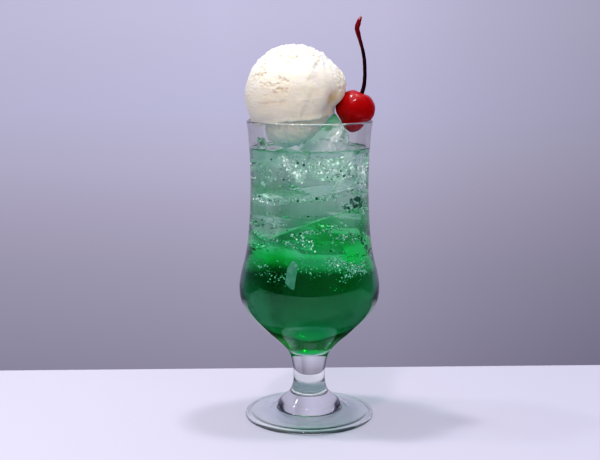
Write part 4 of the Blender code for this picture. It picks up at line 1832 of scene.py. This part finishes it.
@dataclass
class Studio:
    """The table, the wall's light, the lamps and the camera."""

    edge_left: Pair = (-213.9, 86.7)
    edge_right: Pair = (204.7, 103.4)
    front: float = -620.0
    reach: float = 1400.0
    drop: float = 0.05
    thickness: float = 24.0
    lamps: tuple[Lamp, ...] = (
        Lamp("lamp_right", (0.27, 0.09, 1.8), (0.0, 0.0, 0.10), 0.12, 9.6),
        Lamp("lamp_left", (-0.49, 0.10, 1.8), (0.0, 0.0, 0.10), 0.12, 12.0),
        Lamp("lamp_far_left", (-1.15, 0.10, 1.8), (0.0, 0.0, 0.10), 0.14, 5.4),
        Lamp("lamp_front", (-0.30, -1.08, 1.8), (0.0, 0.0, 0.10), 0.14, 9.5),
        Lamp("lamp_fill", (-0.25, -1.45, 0.75), (0.0, 0.0, 0.15), 0.60, 7.0, "#FFF3E6", False),
        Lamp("lamp_fill_right", (0.95, -1.00, 0.60), (0.0, 0.0, 0.18), 0.50, 2.2, "#FFF3E6", False),
    )
    wall_stops: tuple[tuple[float, str], ...] = (
        (-0.60, "#DAD7EA"), (-0.36, "#D0CCE1"), (-0.295, "#8D89A0"), (-0.20, "#9E9AB2"),
        (-0.15, "#ABA5C0"), (-0.105, "#B6B1CD"), (-0.058, "#BCBAD9"), (0.03, "#C6C2E1"),
        (0.60, "#C6C2E1"),
    )
    side_stops: Pairs = (
        (-1.0, 0.25), (-0.80, 0.40), (-0.68, 0.80), (-0.40, 0.86), (-0.08, 1.0), (0.07, 0.93),
        (0.15, 0.80), (0.26, 0.66), (0.36, 0.86), (0.68, 0.80), (0.80, 0.40), (1.0, 0.25),
    )
    depth_stops: Pairs = ((-1.0, 0.3), (-0.3, 0.4), (0.0, 0.62), (0.35, 1.0))
    ceiling_stops: Pairs = ((0.62, 0.0), (0.86, 1.0))
    ceiling: str = "#BBBAC6"
    toe: Pairs = (
        (0.01, 0.0008), (0.03, 0.007), (0.06, 0.028), (0.10, 0.072), (0.16, 0.145), (0.26, 0.26),
        (0.50, 0.50),
    )
    camera_place: Place = (0.0, -0.629, 0.2211)
    camera_pitch: float = 9.687
    focal_pixels: float = 1076.0
    axis_offset_pixels: float = 9.5
    sensor_width: float = 36.0
    bounces: int = 32
    clear_bounces: int = 48

    def table(self) -> None:
        """Build the white table top, whose back edge shows behind the glass."""
        (x1, y1), (x2, y2) = self.edge_left, self.edge_right
        slope = (y2 - y1) / (x2 - x1)
        corners = [
            (-self.reach, self.front),
            (self.reach, self.front),
            (self.reach, y1 + slope * (self.reach - x1)),
            (-self.reach, y1 + slope * (-self.reach - x1)),
        ]
        form = bmesh.new()
        top = form.faces.new([form.verts.new((x * MM, y * MM, -self.drop * MM)) for x, y in corners])
        pulled = bmesh.ops.extrude_face_region(form, geom=[top])["geom"]
        below = [part for part in pulled if isinstance(part, bmesh.types.BMVert)]
        bmesh.ops.translate(form, vec=(0.0, 0.0, -self.thickness * MM), verts=below)
        bmesh.ops.recalc_face_normals(form, faces=form.faces[:])
        mesh = written(form, bpy.data.meshes.new("table_top"))
        mesh.materials.append(TABLE_TOP.material())
        placed("table_top", mesh)

    def wall(self) -> None:
        """Give the world a pale lavender wall behind the glass, a dim room in front and a pale ceiling."""
        world = bpy.data.worlds.new("studio_wall")
        bpy.context.scene.world = world
        world.use_nodes = True
        tree = world.node_tree
        tree.nodes.clear()
        way = add_node(tree, "TexCoord").outputs["Generated"]
        wall, side, depth, overhead = (
            Ramp(stops, Along(axis), 1.0).build(tree, way)
            for stops, axis in (
                (self.wall_stops, Z_AXIS),
                (self.side_stops, X_AXIS),
                (self.depth_stops, Y_AXIS),
                (self.ceiling_stops, Z_AXIS),
            )
        )
        for shade in (side, depth):
            times = {"data_type": "RGBA", "blend_type": "MULTIPLY", MIX_SHARE: 1.0}
            mix = add_node(tree, "Mix", {**times, MIX_FIRST: wall, MIX_SECOND: shade})
            wall = mix.outputs[MIX_RESULT]
        above = {"data_type": "RGBA", MIX_SHARE: overhead}
        mix = add_node(tree, "Mix", {**above, MIX_FIRST: wall, MIX_SECOND: linear(self.ceiling)})
        glow = add_node(tree, "Background", {"Strength": 1.0, "Color": mix.outputs[MIX_RESULT]})
        add_node(tree, "OutputWorld", {"Surface": glow.outputs[0]})

    def light(self) -> None:
        """Hang the soft lamps."""
        for lamp in self.lamps:
            data = bpy.data.lights.new(lamp.name, "AREA")
            data.size = lamp.width
            data.energy = lamp.watts
            data.color = linear(lamp.shade)[:3]
            item = placed(lamp.name, data)
            item.visible_glossy = lamp.gloss
            item.visible_transmission = lamp.gloss
            item.location = lamp.place
            aim = Vector(lamp.aim) - Vector(lamp.place)
            item.rotation_euler = aim.to_track_quat("-Z", "Y").to_euler()

    def camera(self) -> None:
        """Set up the camera where the photograph was taken from."""
        data = bpy.data.cameras.new("camera")
        data.sensor_width = self.sensor_width
        data.lens = self.focal_pixels * self.sensor_width / IMAGE_WIDTH
        item = placed("camera", data)
        item.location = self.camera_place
        turn = math.atan(self.axis_offset_pixels / self.focal_pixels)
        item.rotation_euler = (math.radians(90.0 - self.camera_pitch), 0.0, turn)
        bpy.context.scene.camera = item

    def build(self) -> None:
        """Build the whole studio."""
        self.table()
        self.wall()
        self.light()
        self.camera()
        scene = bpy.context.scene
        scene.view_settings.view_transform = "Standard"
        # The photograph's camera deepens its darkest tones, as most do
        scene.view_settings.use_curve_mapping = True
        response = scene.view_settings.curve_mapping
        all_colours = response.curves[-1]
        for dark, shown in self.toe:
            all_colours.points.new(dark, shown)
        response.update()
        # Light crosses glass, drink, ice and bubbles on its way, so it needs more than the usual bounces
        scene.cycles.max_bounces = self.bounces
        scene.cycles.transmission_bounces = self.bounces
        scene.cycles.transparent_max_bounces = self.clear_bounces
        # Lamps already shine through by the finishes, so light bent by glass would count twice
        scene.cycles.caustics_refractive = False
        scene.cycles.caustics_reflective = False


def main() -> None:
    """Load the frame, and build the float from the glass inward."""
    logging.basicConfig(level=logging.INFO, format="%(asctime)s %(message)s")
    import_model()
    glass = FootedGlass()
    scoop = Scoop()
    ice = Ice(glass, scoop)
    Studio().build()
    glass.build()
    Drink(glass, ice).build()
    ice.build()
    Frost().build()
    Bubbles(glass).build()
    Splinters(glass).build()
    scoop.build(ice.left)
    Cherry().build()


if __name__ == "__main__":
    main()
